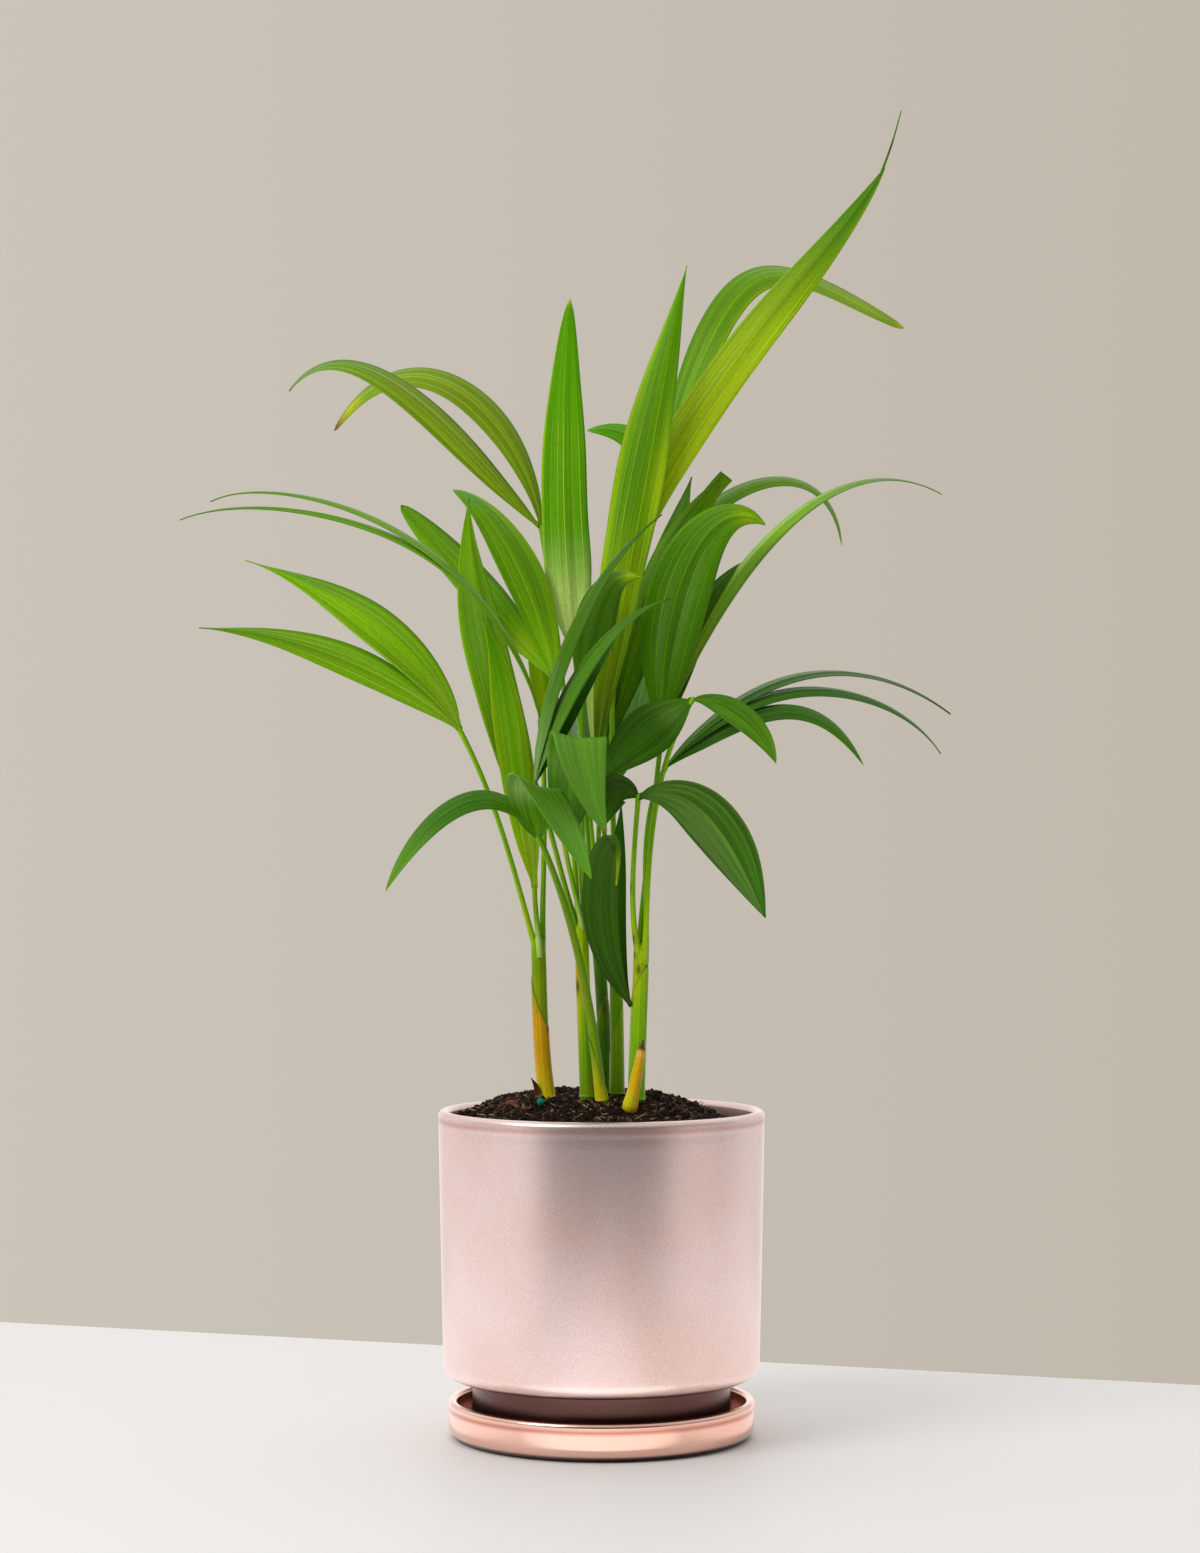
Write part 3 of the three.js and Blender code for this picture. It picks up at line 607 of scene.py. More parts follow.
# Composted bark is a warm brown, which the eye takes for the soil's own colour
BARK_CRUMB = matt("brown bark crumb", "#402a1d", "#7a5238", 2.38)
# Bark that has dried on top is paler and dusty, and gives the light flecks
PALE_CRUMB = matt("dry bark crumb", "#6b4c33", "#96724e", 2.38)
# Dry fibres of peat are straw-coloured and stand out as fine bright hairs
FIBRE = matt("dry peat fibre", "#8f6e49", "#d6b384", 3.33)

skins = Skins()
skins.add(rings, np.ones(rings.shape), np.arange(MOUND_TURNS) / MOUND_TURNS,
          np.linspace(0, 1, rings.shape[0]), flat=False)
soil = skins.piece("soil_mound", PEAT, ["soil"])
print("soil mound faces", len(soil.data.polygons))

# %% [markdown]
# ## A tree that strews crumbs
# A handful of potting soil is thousands of crumbs, each with its own shape. Modelling them one by
# one would be hopeless, and a particle system would not leave a plain mesh. So a Geometry Nodes
# tree strews points over the mound and sets a lumpy ball on each. Its inputs have names, so one
# tree makes crumbs and, with long thin sizes, fibres.

# %% Scatter tree
STREW_INPUTS = dict(Geometry="Geometry", Density="Float", Seed="Int", Smallest="Vector",
                    Largest="Vector", Tilt="Float", Finish="Material")
TURN_SEED = 11
BUMPS_A_BALL = 1.7


def scatter_tree():
    """Strews lumpy grains over a surface, or fibres where their sizes are long and thin."""
    tree = bpy.data.node_groups.new("strew on soil", "GeometryNodeTree")
    for name, kind in STREW_INPUTS.items():
        tree.interface.new_socket(name, in_out="INPUT", socket_type=f"NodeSocket{kind}")
    tree.interface.new_socket("Geometry", in_out="OUTPUT", socket_type="NodeSocketGeometry")
    given = node(tree, "NodeGroupInput").outputs
    points = node(tree, "GeometryNodeDistributePointsOnFaces",
                  {"Mesh": given["Geometry"], "Density": given["Density"],
                   "Seed": given["Seed"]}).outputs["Points"]
    ball = node(tree, "GeometryNodeMeshIcoSphere", {"Radius": 1.0, "Subdivisions": 1}).outputs["Mesh"]
    wander = node(tree, "ShaderNodeTexNoise", {"Scale": BUMPS_A_BALL}).outputs["Color"]
    push = node(tree, "ShaderNodeVectorMath", {0: wander, 1: (0.5, 0.5, 0.5)},
                operation="SUBTRACT").outputs[0]
    grain = node(tree, "GeometryNodeSetPosition", {"Geometry": ball, "Offset": push}).outputs[0]
    size = node(tree, "FunctionNodeRandomValue",
                {"Min": given["Smallest"], "Max": given["Largest"], "Seed": given["Seed"]},
                data_type="FLOAT_VECTOR").outputs[0]
    low = node(tree, "ShaderNodeCombineXYZ", {0: 0.0, 1: 0.0, 2: 0.0}).outputs[0]
    high = node(tree, "ShaderNodeCombineXYZ",
                {0: given["Tilt"], 1: given["Tilt"], 2: 2 * math.pi}).outputs[0]
    turn = node(tree, "FunctionNodeRandomValue", {"Min": low, "Max": high, "Seed": TURN_SEED},
                data_type="FLOAT_VECTOR").outputs[0]
    placed = node(tree, "GeometryNodeInstanceOnPoints",
                  {"Points": points, "Instance": grain, "Rotation": turn, "Scale": size}).outputs[0]
    real = node(tree, "GeometryNodeRealizeInstances", {"Geometry": placed}).outputs[0]
    done = node(tree, "GeometryNodeSetMaterial", {"Geometry": real, "Material": given["Finish"]}).outputs[0]
    node(tree, "NodeGroupOutput", {0: done})
    return tree


def strew(name, surface, tree, values):
    """Runs the tree on a copy of the surface and keeps the result as a plain mesh."""
    carrier = add_object("carrier", surface.copy())
    modifier = carrier.modifiers.new("strew", "NODES")
    modifier.node_group = tree
    sockets = {item.name: item.identifier for item in tree.interface.items_tree if item.in_out == "INPUT"}
    for key, value in values.items():
        modifier[sockets[key]] = value
    graph = bpy.context.evaluated_depsgraph_get()
    mesh = bpy.data.meshes.new_from_object(carrier.evaluated_get(graph))
    bpy.data.objects.remove(carrier)
    mesh.name = name
    made = add_object(name, mesh)
    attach(made, "root")
    print(name, "triangles", sum(len(p.vertices) - 2 for p in mesh.polygons))


print("inputs of the tree:", *STREW_INPUTS)

# %% [markdown]
# ## Crumbs and fibres
# Dark peat, brown bark, pale dry bark and fibres cover the soil. One scatter with mixed materials
# could do for all, but the kinds differ in size and number as well. So the tree runs once for each
# kind, with its own sizes, count and seed. A crumb has only twenty faces, as there are thousands.

# %% Strew crumbs and fibres
top_mesh = bpy.data.meshes.new("soil_top")
top_rows = rings[1:]
size = MOUND_TURNS
top_faces = [(r * size + i, r * size + (i + 1) % size, (r + 1) * size + (i + 1) % size, (r + 1) * size + i)
             for r in range(len(top_rows) - 1) for i in range(size)]
top_mesh.from_pydata((top_rows.reshape(-1, 3) * MM).tolist(), [], top_faces)
strewing = scatter_tree()
KINDS = [
    # name, material, grains to the square metre, seed, smallest, largest, tilt
    ("soil_crumbs_dark", PEAT_CRUMB, 210000, 3, (0.4, 0.35, 0.3), (1.7, 1.35, 1.05), 6.28),
    ("soil_crumbs_brown", BARK_CRUMB, 60000, 5, (0.4, 0.3, 0.25), (1.6, 1.1, 0.8), 6.28),
    ("soil_crumbs_pale", PALE_CRUMB, 20000, 8, (0.35, 0.25, 0.2), (1.6, 0.9, 0.5), 6.28),
    ("soil_fibres", FIBRE, 42000, 13, (1.3, 0.12, 0.1), (4.6, 0.26, 0.2), 0.6),
]
for name, finish, density, seed, smallest, largest, tilt in KINDS:
    strew(name, top_mesh, strewing,
          {"Density": float(density), "Seed": seed, "Smallest": tuple(v * MM for v in smallest),
           "Largest": tuple(v * MM for v in largest), "Tilt": tilt, "Finish": finish})

# %% [markdown]
# ## How the plant grows
# Stems, stalks and leaf lobes all follow the same rule as the CAD source: a smooth curve from one
# place to another, given by the headings at which it starts and ends, with a frame carried along
# it without twist. The finer plant below uses more stations on the same curves, so it stays
# inside the same reach.

# %% Curves and stations
STATIONS_OF_CURVE = 400
EVEN_PULL = (0.33, 0.33)
EVEN_DEPTH = (0.15, 0.6)


def heading(degrees):
    """A direction seen from the front: 0 points right, 90 up and 180 left."""
    return np.array([math.cos(math.radians(degrees)), 0.0, math.sin(math.radians(degrees))])


def route(start_at, end_at, start, end, pull=EVEN_PULL, depth=EVEN_DEPTH):
    """The four points of a Bezier curve between two places. start and end are its headings, pull
    says how far each one reaches, and depth where the two middle points lie from front to back."""
    first, last = np.array(start_at, float), np.array(end_at, float)
    span = math.hypot(last[0] - first[0], last[2] - first[2])
    second = first + heading(start) * pull[0] * span
    third = last - heading(end) * pull[1] * span
    second[1] = first[1] + (last[1] - first[1]) * depth[0]
    third[1] = first[1] + (last[1] - first[1]) * depth[1]
    return np.array([first, second, third, last])


def on_curve(points, t):
    """Places and directions on a Bezier curve."""
    t = np.asarray(t, float)[:, None]
    a, b, c, d = points
    place = (1 - t) ** 3 * a + 3 * (1 - t) ** 2 * t * b + 3 * (1 - t) * t * t * c + t ** 3 * d
    slope = 3 * (1 - t) ** 2 * (b - a) + 6 * (1 - t) * t * (c - b) + 3 * t * t * (d - c)
    return place, slope / np.linalg.norm(slope, axis=1)[:, None]


def curve_length(points):
    """The length from the curve's start to each of its stations."""
    place, _ = on_curve(points, np.linspace(0, 1, STATIONS_OF_CURVE + 1))
    return np.append(0, np.cumsum(np.linalg.norm(np.diff(place, axis=0), axis=1)))


def carry(along):
    """Frames carried along directions without twist, from one that faces the viewer."""
    faces = np.empty_like(along)
    carried = np.array([0.0, -1.0, 0.0])
    for k, direction in enumerate(along):
        carried = carried - direction * carried.dot(direction)
        carried /= np.linalg.norm(carried)
        faces[k] = carried
    return np.cross(faces, along), faces


def stations(points, shares, roll=(0, 0)):
    """Centre, direction, across and face at even shares of the length."""
    lengths = curve_length(points)
    t = np.interp(np.asarray(shares) * lengths[-1], lengths, np.linspace(0, 1, len(lengths)))
    centre, along = on_curve(points, t)
    across, face = carry(along)
    angle = np.radians(roll[0] + (roll[1] - roll[0]) * np.asarray(shares))[:, None]
    return (centre, along, across * np.cos(angle) + face * np.sin(angle),
            face * np.cos(angle) - across * np.sin(angle))


print("headings up", heading(90).round(2))

# %% [markdown]
# ## Plant colours
# The colours of a seedling palm: lime where young growth lets light through, deep green on old
# blades, a blue-green bloom on some, cream veins, yellow sheaths and brown where tips and edges
# have dried. A material for each would need dozens of them. So the tones have names here, and each
# piece mixes its own from them, point by point. Some of the mixing is painted light: a few patches
# of painted sheen on leaves, and painted shade in leaf folds and on the right side of stems.

# %% Plant colours
TONES = {name: linear(code) for name, code in {
    "lime": "#a6c80c", "light": "#83bb0a", "young": "#80bd08", "spring": "#7ba606", "olive": "#73940a",
    "fresh": "#5fae04", "moss": "#67a004", "grass": "#589605", "green": "#4c8406", "bright": "#5a9c08",
    "palm": "#528a04", "laurel": "#5f9008", "holly": "#477d0a", "fern": "#477f04", "bottle": "#357010",
    "ivy": "#3b6808", "mid": "#3d780c", "deep": "#2f6409", "pine": "#33640a", "dark": "#274f08",
    "blue": "#5a9a3e", "grey": "#6b9242", "sage": "#5f9d1e", "pale": "#b5d568", "cream": "#d3db6a",
    "silver": "#b9d68a", "milk": "#defa8c", "vein": "#ccd440", "yellow": "#d8cb18", "amber": "#e2b414",
    "gold": "#cb9a10", "orange": "#b5701c", "brown": "#5f3a1c", "umber": "#33190f", "straw": "#d9c57a",
}.items()}


def wander(seed, u, v):
    """A soft value, mostly between -1 and 1, that drifts over a surface. Every run gives the same."""
    draw = np.random.RandomState(seed)
    total = np.zeros(np.broadcast(u, v).shape)
    for _ in range(6):
        a, b = draw.uniform(-1, 1, 2)
        total = total + np.sin(a * u + b * v + draw.uniform(0, 2 * math.pi))
    return total / 3


print("tones", len(TONES))

# %% [markdown]
# ## The skin of leaves and stems
# A palm leaf is waxy: it mirrors the studio softly, and fine lines run along it. The painted tint
# gives its colour. A noise that is stretched along the surface map gives the lines, as shade and
# as a slight relief, so they follow every bend. A finer noise breaks up colour and gloss.

# %% Leaf and stem materials
LINE_LENGTH = 62.5
LINE_HEIGHT = 0.12
# Seven mottles to a centimetre
MOTTLE_SIZE = 10 / 7
GLOSS_DRIFT = 0.1
WAX_TINT = "#eef48c"


def plant_skin(name, roughness, girth, spacing, line_depth, coat):
    """A waxy plant skin: its painted colour with fine lines that run along the piece, as many as
    their spacing allows on a girth in millimetres."""
    material, tree, output = new_material(name)
    painted = node(tree, "ShaderNodeVertexColor", layer_name="tint").outputs["Color"]
    surface = node(tree, "ShaderNodeUVMap", uv_map="surface").outputs[0]
    waves = (girth / spacing, UV_STRIP / LINE_LENGTH, 1)
    stretched = node(tree, "ShaderNodeMapping", {"Vector": surface, "Scale": waves}).outputs[0]
    streak = node(tree, "ShaderNodeTexNoise",
                  {"Vector": stretched, "Scale": 1.0, "Detail": 2, "Roughness": 0.6},
                  noise_dimensions="2D").outputs[0]
    place = node(tree, "ShaderNodeTexCoord").outputs["Object"]
    mottle = node(tree, "ShaderNodeTexNoise",
                  {"Vector": place, "Scale": 1 / (MOTTLE_SIZE * MM), "Detail": 2}).outputs[0]
    shade = node(tree, "ShaderNodeMapRange",
                 {"Value": streak, "From Min": 0.36, "From Max": 0.64,
                  "To Min": 1 - line_depth, "To Max": 1 + line_depth}).outputs[0]
    fleck = node(tree, "ShaderNodeMapRange", {"Value": mottle, "From Min": 0.3, "From Max": 0.7,
                                              "To Min": 0.93, "To Max": 1.06}).outputs[0]
    level = node(tree, "ShaderNodeMath", {0: shade, 1: fleck}, operation="MULTIPLY").outputs[0]
    tone = node(tree, "ShaderNodeMix", {"Factor": 1.0, 6: painted, 7: level},
                data_type="RGBA", blend_type="MULTIPLY").outputs[2]
    gloss = node(tree, "ShaderNodeMapRange",
                 {"Value": mottle, "From Min": 0.3, "From Max": 0.7,
                  "To Min": roughness - GLOSS_DRIFT / 2, "To Max": roughness + GLOSS_DRIFT / 2}).outputs[0]
    rib = node(tree, "ShaderNodeBump",
               {"Height": streak, "Strength": 0.35, "Distance": LINE_HEIGHT * MM}).outputs[0]
    skin = node(tree, "ShaderNodeBsdfPrincipled",
                {"Base Color": tone, "Roughness": gloss, "IOR": 1.42, "Specular IOR Level": 0.24,
                 "Specular Tint": rgba(WAX_TINT), "Normal": rib, "Coat Weight": coat,
                 "Coat Roughness": 0.26})
    tree.links.new(skin.outputs[0], output.inputs[0])
    return material


# Name, roughness, girth, spacing of its lines, their depth, clear coat
LEAF_SKINS = {
    # Young wax: a soft bright sheen with clear lines
    "leaf_bright_green": plant_skin("young waxy leaf", 0.36, 36, 0.75, 0.15, 0.05),
    # Thin new growth: the dullest of the leaves, since its wax has not formed yet
    "leaf_lime": plant_skin("thin lime leaf", 0.42, 18, 0.5, 0.12, 0.02),
    # Full-grown blades: the glossiest, with the deepest lines
    "leaf_deep_green": plant_skin("old glossy leaf", 0.34, 36, 0.75, 0.17, 0.06),
    # A powdery bloom over the wax: it takes the edge off the sheen
    "leaf_blue_green": plant_skin("leaf with blue bloom", 0.40, 33, 0.75, 0.15, 0.06),
}
# A stem's sheath: close ribs under a little more gloss than a leaf has
STEM_SKIN = plant_skin("ribbed leaf sheath", 0.36, 18, 0.6, 0.16, 0.08)
# A stalk: nearly smooth, so that one bright line of light runs along it
STALK_SKIN = plant_skin("smooth leaf stalk", 0.36, 7, 0.5, 0.12, 0.08)
print("plant skins", len(LEAF_SKINS) + 2)

# %% [markdown]
# ## Stems and their sheaths
# What looks like a stem on a seedling palm is a bundle of leaf sheaths wrapped round each other.
# Each stem is a tube on its curve, a little thicker at the foot, with a dome where the sheaths
# close. Old sheaths are thin shells round it whose upper edge climbs to a point on one side and
# dries brown. A boolean would tear such thin shells, so each is a ring skin that is folded in at
# its edge.

# %% Stem tubes
STEM_SIDES = 28
FLARE = 0.5
FLARE_DECAY = 5
SUNK = 3

# side: the tone painted on the right of each stem and of the stub, as shade away from the lamp
STEMS = {
    "left": dict(foot=(-22, -18), top=(-25.5, -17, 201), radii=(2.95, 2.85), start=98, end=92,
                 tones=("gold", "lime", "light"), side="deep", slot="stem_green"),
    "middle": dict(foot=(-5.5, -22), top=(-8, -19, 208), radii=(2.75, 2.55), start=92, end=91,
                   tones=("olive", "spring", "light"), side="olive", slot="stem_green"),
    "dark": dict(foot=(1.5, 4), top=(-2.5, 1, 208.5), radii=(2.6, 2.35), start=91, end=97,
                 tones=("olive", "ivy", "laurel"), side="holly", slot="stem_dark_green"),
    "back": dict(foot=(6.3, -8.9), top=(5.5, -8, 205.5), radii=(2.6, 2.4), start=90, end=91,
                 tones=("ivy", "olive", "palm"), side="palm", slot="stem_green"),
    "right": dict(foot=(14, -23), top=(16, -24, 198.5), radii=(3.0, 2.9), start=89, end=88,
                  tones=("bright", "light", "lime"), side="green", slot="stem_green"),
    "front": dict(foot=(0, -27), top=(-24.5, -46, 242.5), radii=(2.1, 1.15), start=96, end=114,
                  pull=(0.4, 0.3), tones=("spring", "olive", "laurel"), side="palm", slot="stem_green"),
}
STUB = dict(foot=(11.5, -32.5), top=(16.5, -31, 161.5), radii=(2.6, 1.2), start=76, end=78,
            tones=("yellow", "amber", "amber"), side="gold", slot="sheath_yellow")


def stem_route(stem):
    """The stem's curve, from just above the highest soil under its foot."""
    x, y = stem["foot"]
    turns = np.linspace(0, 2 * math.pi, 9)
    reach = stem["radii"][0] + FLARE
    ground = soil_height(x + reach * np.cos(turns), y + reach * np.sin(turns)).max() + 2 * GAP
    return route((x, y, ground), stem["top"], stem["start"], stem["end"], stem.get("pull", EVEN_PULL))


def round_rings(points, shares, radii, sides=STEM_SIDES):
    """Rings on a curve. Turn 0 is at the left, 0.25 in front, 0.5 at the right and 0.75 behind."""
    centre, along, across, face = stations(points, shares)
    turns = np.linspace(0, 2 * math.pi, sides, endpoint=False)
    out = across[:, None] * np.cos(turns)[None, :, None] + face[:, None] * np.sin(turns)[None, :, None]
    radii = np.asarray(radii, float)
    radii = radii[:, None] if radii.ndim == 1 else radii
    return centre[:, None] + out * radii[..., None], along


def stem_radius(stem, share, length):
    """An even taper, with a short flare at the foot."""
    return (stem["radii"][0] + (stem["radii"][1] - stem["radii"][0]) * share
            + FLARE * np.exp(-share * length / FLARE_DECAY))


def spot(share, turn, place, around, long, wide):
    """A soft round patch on a stem: its place and reach along it and round it."""
    gap = np.abs((turn - around + 0.5) % 1 - 0.5)
    return np.exp(-((share - place) / long) ** 2 - (gap / wide) ** 2)


def paint_limb(share, turn, tones, side, length, seed, spots=()):
    """Colour from foot to top, painted shade on the right side, ribs, and the spots given."""
    low, middle, high = (TONES[tone] for tone in tones)
    colour = mix(mix(low, middle, smooth(share, 0.0, 0.4)), high, smooth(share, 0.6, 1.0))
    # Painted shade: the right side, away from the lamp, takes the side tone
    right = smooth(-np.cos(2 * math.pi * turn), 0.25, 0.95)
    colour = mix(colour, TONES[side], 0.7 * right)
    ribs = np.sin(2 * math.pi * turn * 11 + seed) * 0.06
    drift = wander(seed, share * length / 9, np.cos(2 * math.pi * turn) * 2)
    colour = colour * (1 + ribs + 0.1 * drift)[..., None]
    return paint_spots(colour, share, turn, length, spots)


def paint_spots(colour, share, turn, length, spots):
    """Patches as (tone, place along, place round, reach along in mm, reach round, strength)."""
    for tone, place, around, long, wide, strength in spots:
        near = spot(share, turn, place, around, long / length, wide)
        colour = mix(colour, TONES[tone], strength * near)
    return colour


def tube(skins, points, radius, paint, sides=STEM_SIDES, rows=60, sunk=0.0, dome=1.5):
    """A tube on a curve with a dome at its end. radius and paint are functions of the share."""
    length = curve_length(points)[-1]
    shares = np.linspace(0, 1, rows)
    radii = radius(shares)
    rings, along = round_rings(points, shares, radii, sides)
    turns = np.arange(sides) / sides
    tints = paint(shares[:, None], turns[None, :])
    if sunk:
        rings = np.concatenate([rings[:1] - along[0] * sunk, rings])
        tints = np.concatenate([tints[:1], tints])
        shares = np.append(-sunk / length, shares)
    rim, centre = rings[-1], rings[-1].mean(0)
    for angle in np.radians((30, 60, 80)):
        ring = centre + (rim - centre) * math.cos(angle) + along[-1] * dome * math.sin(angle)
        rings = np.concatenate([rings, ring[None]])
        tints = np.concatenate([tints, tints[-1:]])
        shares = np.append(shares, 1 + dome * math.sin(angle) / length)
    skins.add(rings, tints, turns, shares * length / UV_STRIP, flat=False)
    return length


print("stems", len(STEMS))

# %% [markdown]
# ## Sheath shells
# An old sheath still hugs its stem, but its upper edge stands a little off and has dried brown. On
# the real plant that edge climbs to a point on one side. A shell's rings can't lie level then: each
# of its points has its own height, and the edge is folded in to give the shell some thickness.

# %% Sheath shells
SHELL_SIDES, SHELL_ROWS = 44, 34
SHELL_STATIONS = 161
SHELL_THICKNESS = 0.3
SHELL_FOOT_SUNK = 1.2
EDGE_TUCK = 0.12
EDGE_POWER = 0.8


def sheath(skins, stem, low, tip, drop, tip_turn, tones, edge, lap, spots):
    """A shell round a stem. low, tip and drop are millimetres along it: where the shell starts,
    where its point ends, and how far its edge falls away from there. tip_turn is the point's side
    and lap how far out the shell lies."""
    points = stem_route(stem)
    length = curve_length(points)[-1]
    turns = np.arange(SHELL_SIDES) / SHELL_SIDES
    fall = ((1 - np.cos(2 * math.pi * (turns - tip_turn))) / 2) ** EDGE_POWER
    edge_share = (tip - drop * fall) / length
    low_share = low / length
    levels = np.linspace(0, 1, SHELL_ROWS)
    share = low_share + (edge_share[None, :] - low_share) * levels[:, None]
    grid = np.linspace(0, 1, SHELL_STATIONS)
    centre, along, across, face = stations(points, grid)
    frames = (centre, across, face)
    radius = stem_radius(stem, share, length) + lap * (0.35 + 0.65 * smooth(levels, 0, 0.3))[:, None]
    radius[-1] -= EDGE_TUCK
    rows = [shell_row(share[k], radius[k], turns, frames, grid) for k in range(SHELL_ROWS)]
    rows.append(shell_row(share[-1] - SHELL_THICKNESS / length, radius[-1] - SHELL_THICKNESS - lap,
                          turns, frames, grid))
    rows.append(shell_row(np.full(SHELL_SIDES, low_share), radius[0] - SHELL_FOOT_SUNK,
                          turns, frames, grid))
    share = np.vstack([share, share[-1:], share[-1:]])
    # The shell's middle tone is painted on its right side as shade
    colour = paint_limb((share - low_share) / (tip / length - low_share), turns[None, :],
                        tones, tones[1], tip - low, 5)
    gap = (edge_share[None, :] - share) * length
    colour = mix(colour, TONES[edge], 0.9 * (1 - smooth(gap, 0.15, 0.75)))
    colour = paint_spots(colour, share, turns[None, :], length, spots)
    skins.add(np.array(rows), colour, turns, share.mean(1) * length / UV_STRIP, flat=False)


def shell_row(share, radius, turns, frames, grid):
    """One ring of a shell, whose points lie at their own heights."""
    centre, across, face = ([np.interp(share, grid, part[:, k]) for k in range(3)] for part in frames)
    centre, across, face = (np.array(part).T for part in (centre, across, face))
    angle = 2 * math.pi * turns
    out = across * np.cos(angle)[:, None] + face * np.sin(angle)[:, None]
    return centre + out * radius[:, None]


print("a shell has", SHELL_SIDES, "sides and", SHELL_ROWS, "rows")

# %% [markdown]
# ## What each stem wears
# A seedling's stem is marked where leaves have come away: dark scars, yellow streaks where a
# sheath is dying and pale seams between two sheaths. A noise would put such marks anywhere, but
# the eye knows these from the photograph. So each is one soft patch with its own place, and each
# old sheath is one row with its heights, the side of its point and its tones.

# %% Marks and sheaths of the stems
# Where a stem is patched: tone, share of its height, side, reach along it, reach round it, strength
STEM_SPOTS = {
    "left": [("umber", 0.44, 0.42, 1.6, 0.05, 0.8), ("yellow", 0.7, 0.2, 6, 0.2, 0.15)],
    "middle": [("yellow", 0.5, 0.08, 12, 0.12, 0.6), ("umber", 0.64, 0.1, 3.4, 0.08, 0.9),
               ("umber", 0.86, 0.3, 1.2, 0.03, 0.6), ("lime", 0.95, 0.2, 8, 0.3, 0.5)],
    "dark": [("umber", 0.5, 0.3, 5, 0.09, 0.8), ("umber", 0.66, 0.12, 3, 0.06, 0.6),
             ("brown", 0.36, 0.4, 3, 0.06, 0.6), ("green", 0.8, 0.2, 9, 0.2, 0.5)],
    "back": [("brown", 0.3, 0.5, 4, 0.03, 0.7), ("light", 0.5, 0.42, 30, 0.06, 0.5)],
    "right": [("umber", 0.86, 0.2, 2.2, 0.06, 0.9), ("umber", 0.97, 0.1, 2.2, 0.08, 0.9),
              ("yellow", 0.72, 0.1, 9, 0.1, 0.4), ("deep", 0.6, 0.42, 18, 0.04, 0.5)],
    "front": [("umber", 0.33, 0.3, 0.5, 0.03, 0.7), ("umber", 0.25, 0.2, 0.5, 0.03, 0.7),
              ("umber", 0.42, 0.22, 0.5, 0.03, 0.6), ("yellow", 0.06, 0.12, 8, 0.15, 0.8)],
}
# Shells on each stem: from, tip, fall, side of the tip, tones, edge tone, how far out it lies
STEM_SHEATHS = {
    "left": [(-2, 49, 21, 0.97, ("yellow", "gold", "olive"), "brown", 0.42),
             (22, 67, 12, 0.18, ("olive", "olive", "light"), "moss", 0.16)],
    "middle": [(-2, 54, 34, 0.06, ("olive", "moss", "amber"), "brown", 0.42),
               (12, 72, 12, 0.25, ("light", "lime", "lime"), "moss", 0.16)],
    "dark": [(-2, 40, 16, 0.35, ("ivy", "ivy", "olive"), "umber", 0.42),
             (18, 71, 10, 0.2, ("dark", "ivy", "laurel"), "umber", 0.16)],
    "back": [(-2, 38, 22, 0.45, ("laurel", "olive", "laurel"), "brown", 0.42),
             (10, 68, 10, 0.3, ("laurel", "laurel", "palm"), "moss", 0.16)],
    "right": [(-2, 54, 14, 0.40, ("fresh", "light", "lime"), "brown", 0.42),
              (32, 65, 13, 0.08, ("light", "lime", "lime"), "moss", 0.16)],
    "front": [(-2, 26, 23, 0.05, ("yellow", "olive", "moss"), "umber", 0.35)],
}
print("sheaths", sum(len(rows) for rows in STEM_SHEATHS.values()))

# %% [markdown]
# ## Growing the stems
# Each stem and its old sheaths touch everywhere. They could be joined by a boolean or a remesh,
# which would blur the thin edges, so their closed skins just overlap in one piece. The foot goes a
# few millimetres into the crumbs, as the real one is rooted there.

# %% Make the stems
def make_stem(name, stem, node_name, number):
    """The stem's tube with its shells."""
    skins = Skins()
    points = stem_route(stem)
    length = curve_length(points)[-1]
    spots = STEM_SPOTS[name]
    tube(skins, points, lambda share: stem_radius(stem, share, length),
         lambda share, turn: paint_limb(share, turn, stem["tones"], stem["side"], length, number, spots),
         rows=90, sunk=SUNK, dome=2.2)
    for shell in STEM_SHEATHS[name]:
        sheath(skins, stem, *shell, spots)
    made = skins.piece(f"{name}_stem_sheaths", STEM_SKIN, [node_name])
    print(made.name, "faces", len(made.data.polygons))


for number, (name, stem) in enumerate(STEMS.items()):
    make_stem(name, stem, f"stem_{name}", number)

# %% [markdown]
# ## The stub of an old sheath
# An old sheath in front of the right stem has lost its leaf. It is yellow, leans against the stem
# and ends in a dried brown point. It could be a shell like the others, but nothing shows inside
# it, so a tube whose end draws in quickly does the same with far fewer points.

# %% Make the stub
def paint_stub(share, turn):
    """A brown seam at its left edge, a pale band near its end and a dried point."""
    colour = paint_limb(share, turn, STUB["tones"], STUB["side"], 27, 3)
    left_edge = np.exp(-((((turn - 0.02 + 0.5) % 1) - 0.5) / 0.035) ** 2) * smooth(share, 0.45, 0.75)
    colour = mix(colour, TONES["umber"], 0.85 * left_edge)
    colour = mix(colour, TONES["straw"], 0.5 * smooth(share, 0.72, 0.8) * (1 - smooth(share, 0.8, 0.86)))
    return mix(colour, TONES["umber"], 0.92 * smooth(share, 0.84, 0.9))


def stub_radius(share):
    """Thick at its foot, with an even taper and a point that draws in quickly."""
    return (2.75 - 1.1 * share + 0.4 * np.exp(-share * 6)) * (1 - 0.72 * smooth(share, 0.84, 1.0))


skins = Skins()
tube(skins, stem_route(STUB), stub_radius, paint_stub, rows=50, sunk=SUNK, dome=1.0)
skins.piece("old_sheath_stub", STEM_SKIN, ["sheath_stub"])
print("stub", round(curve_length(stem_route(STUB))[-1], 1), "mm long")

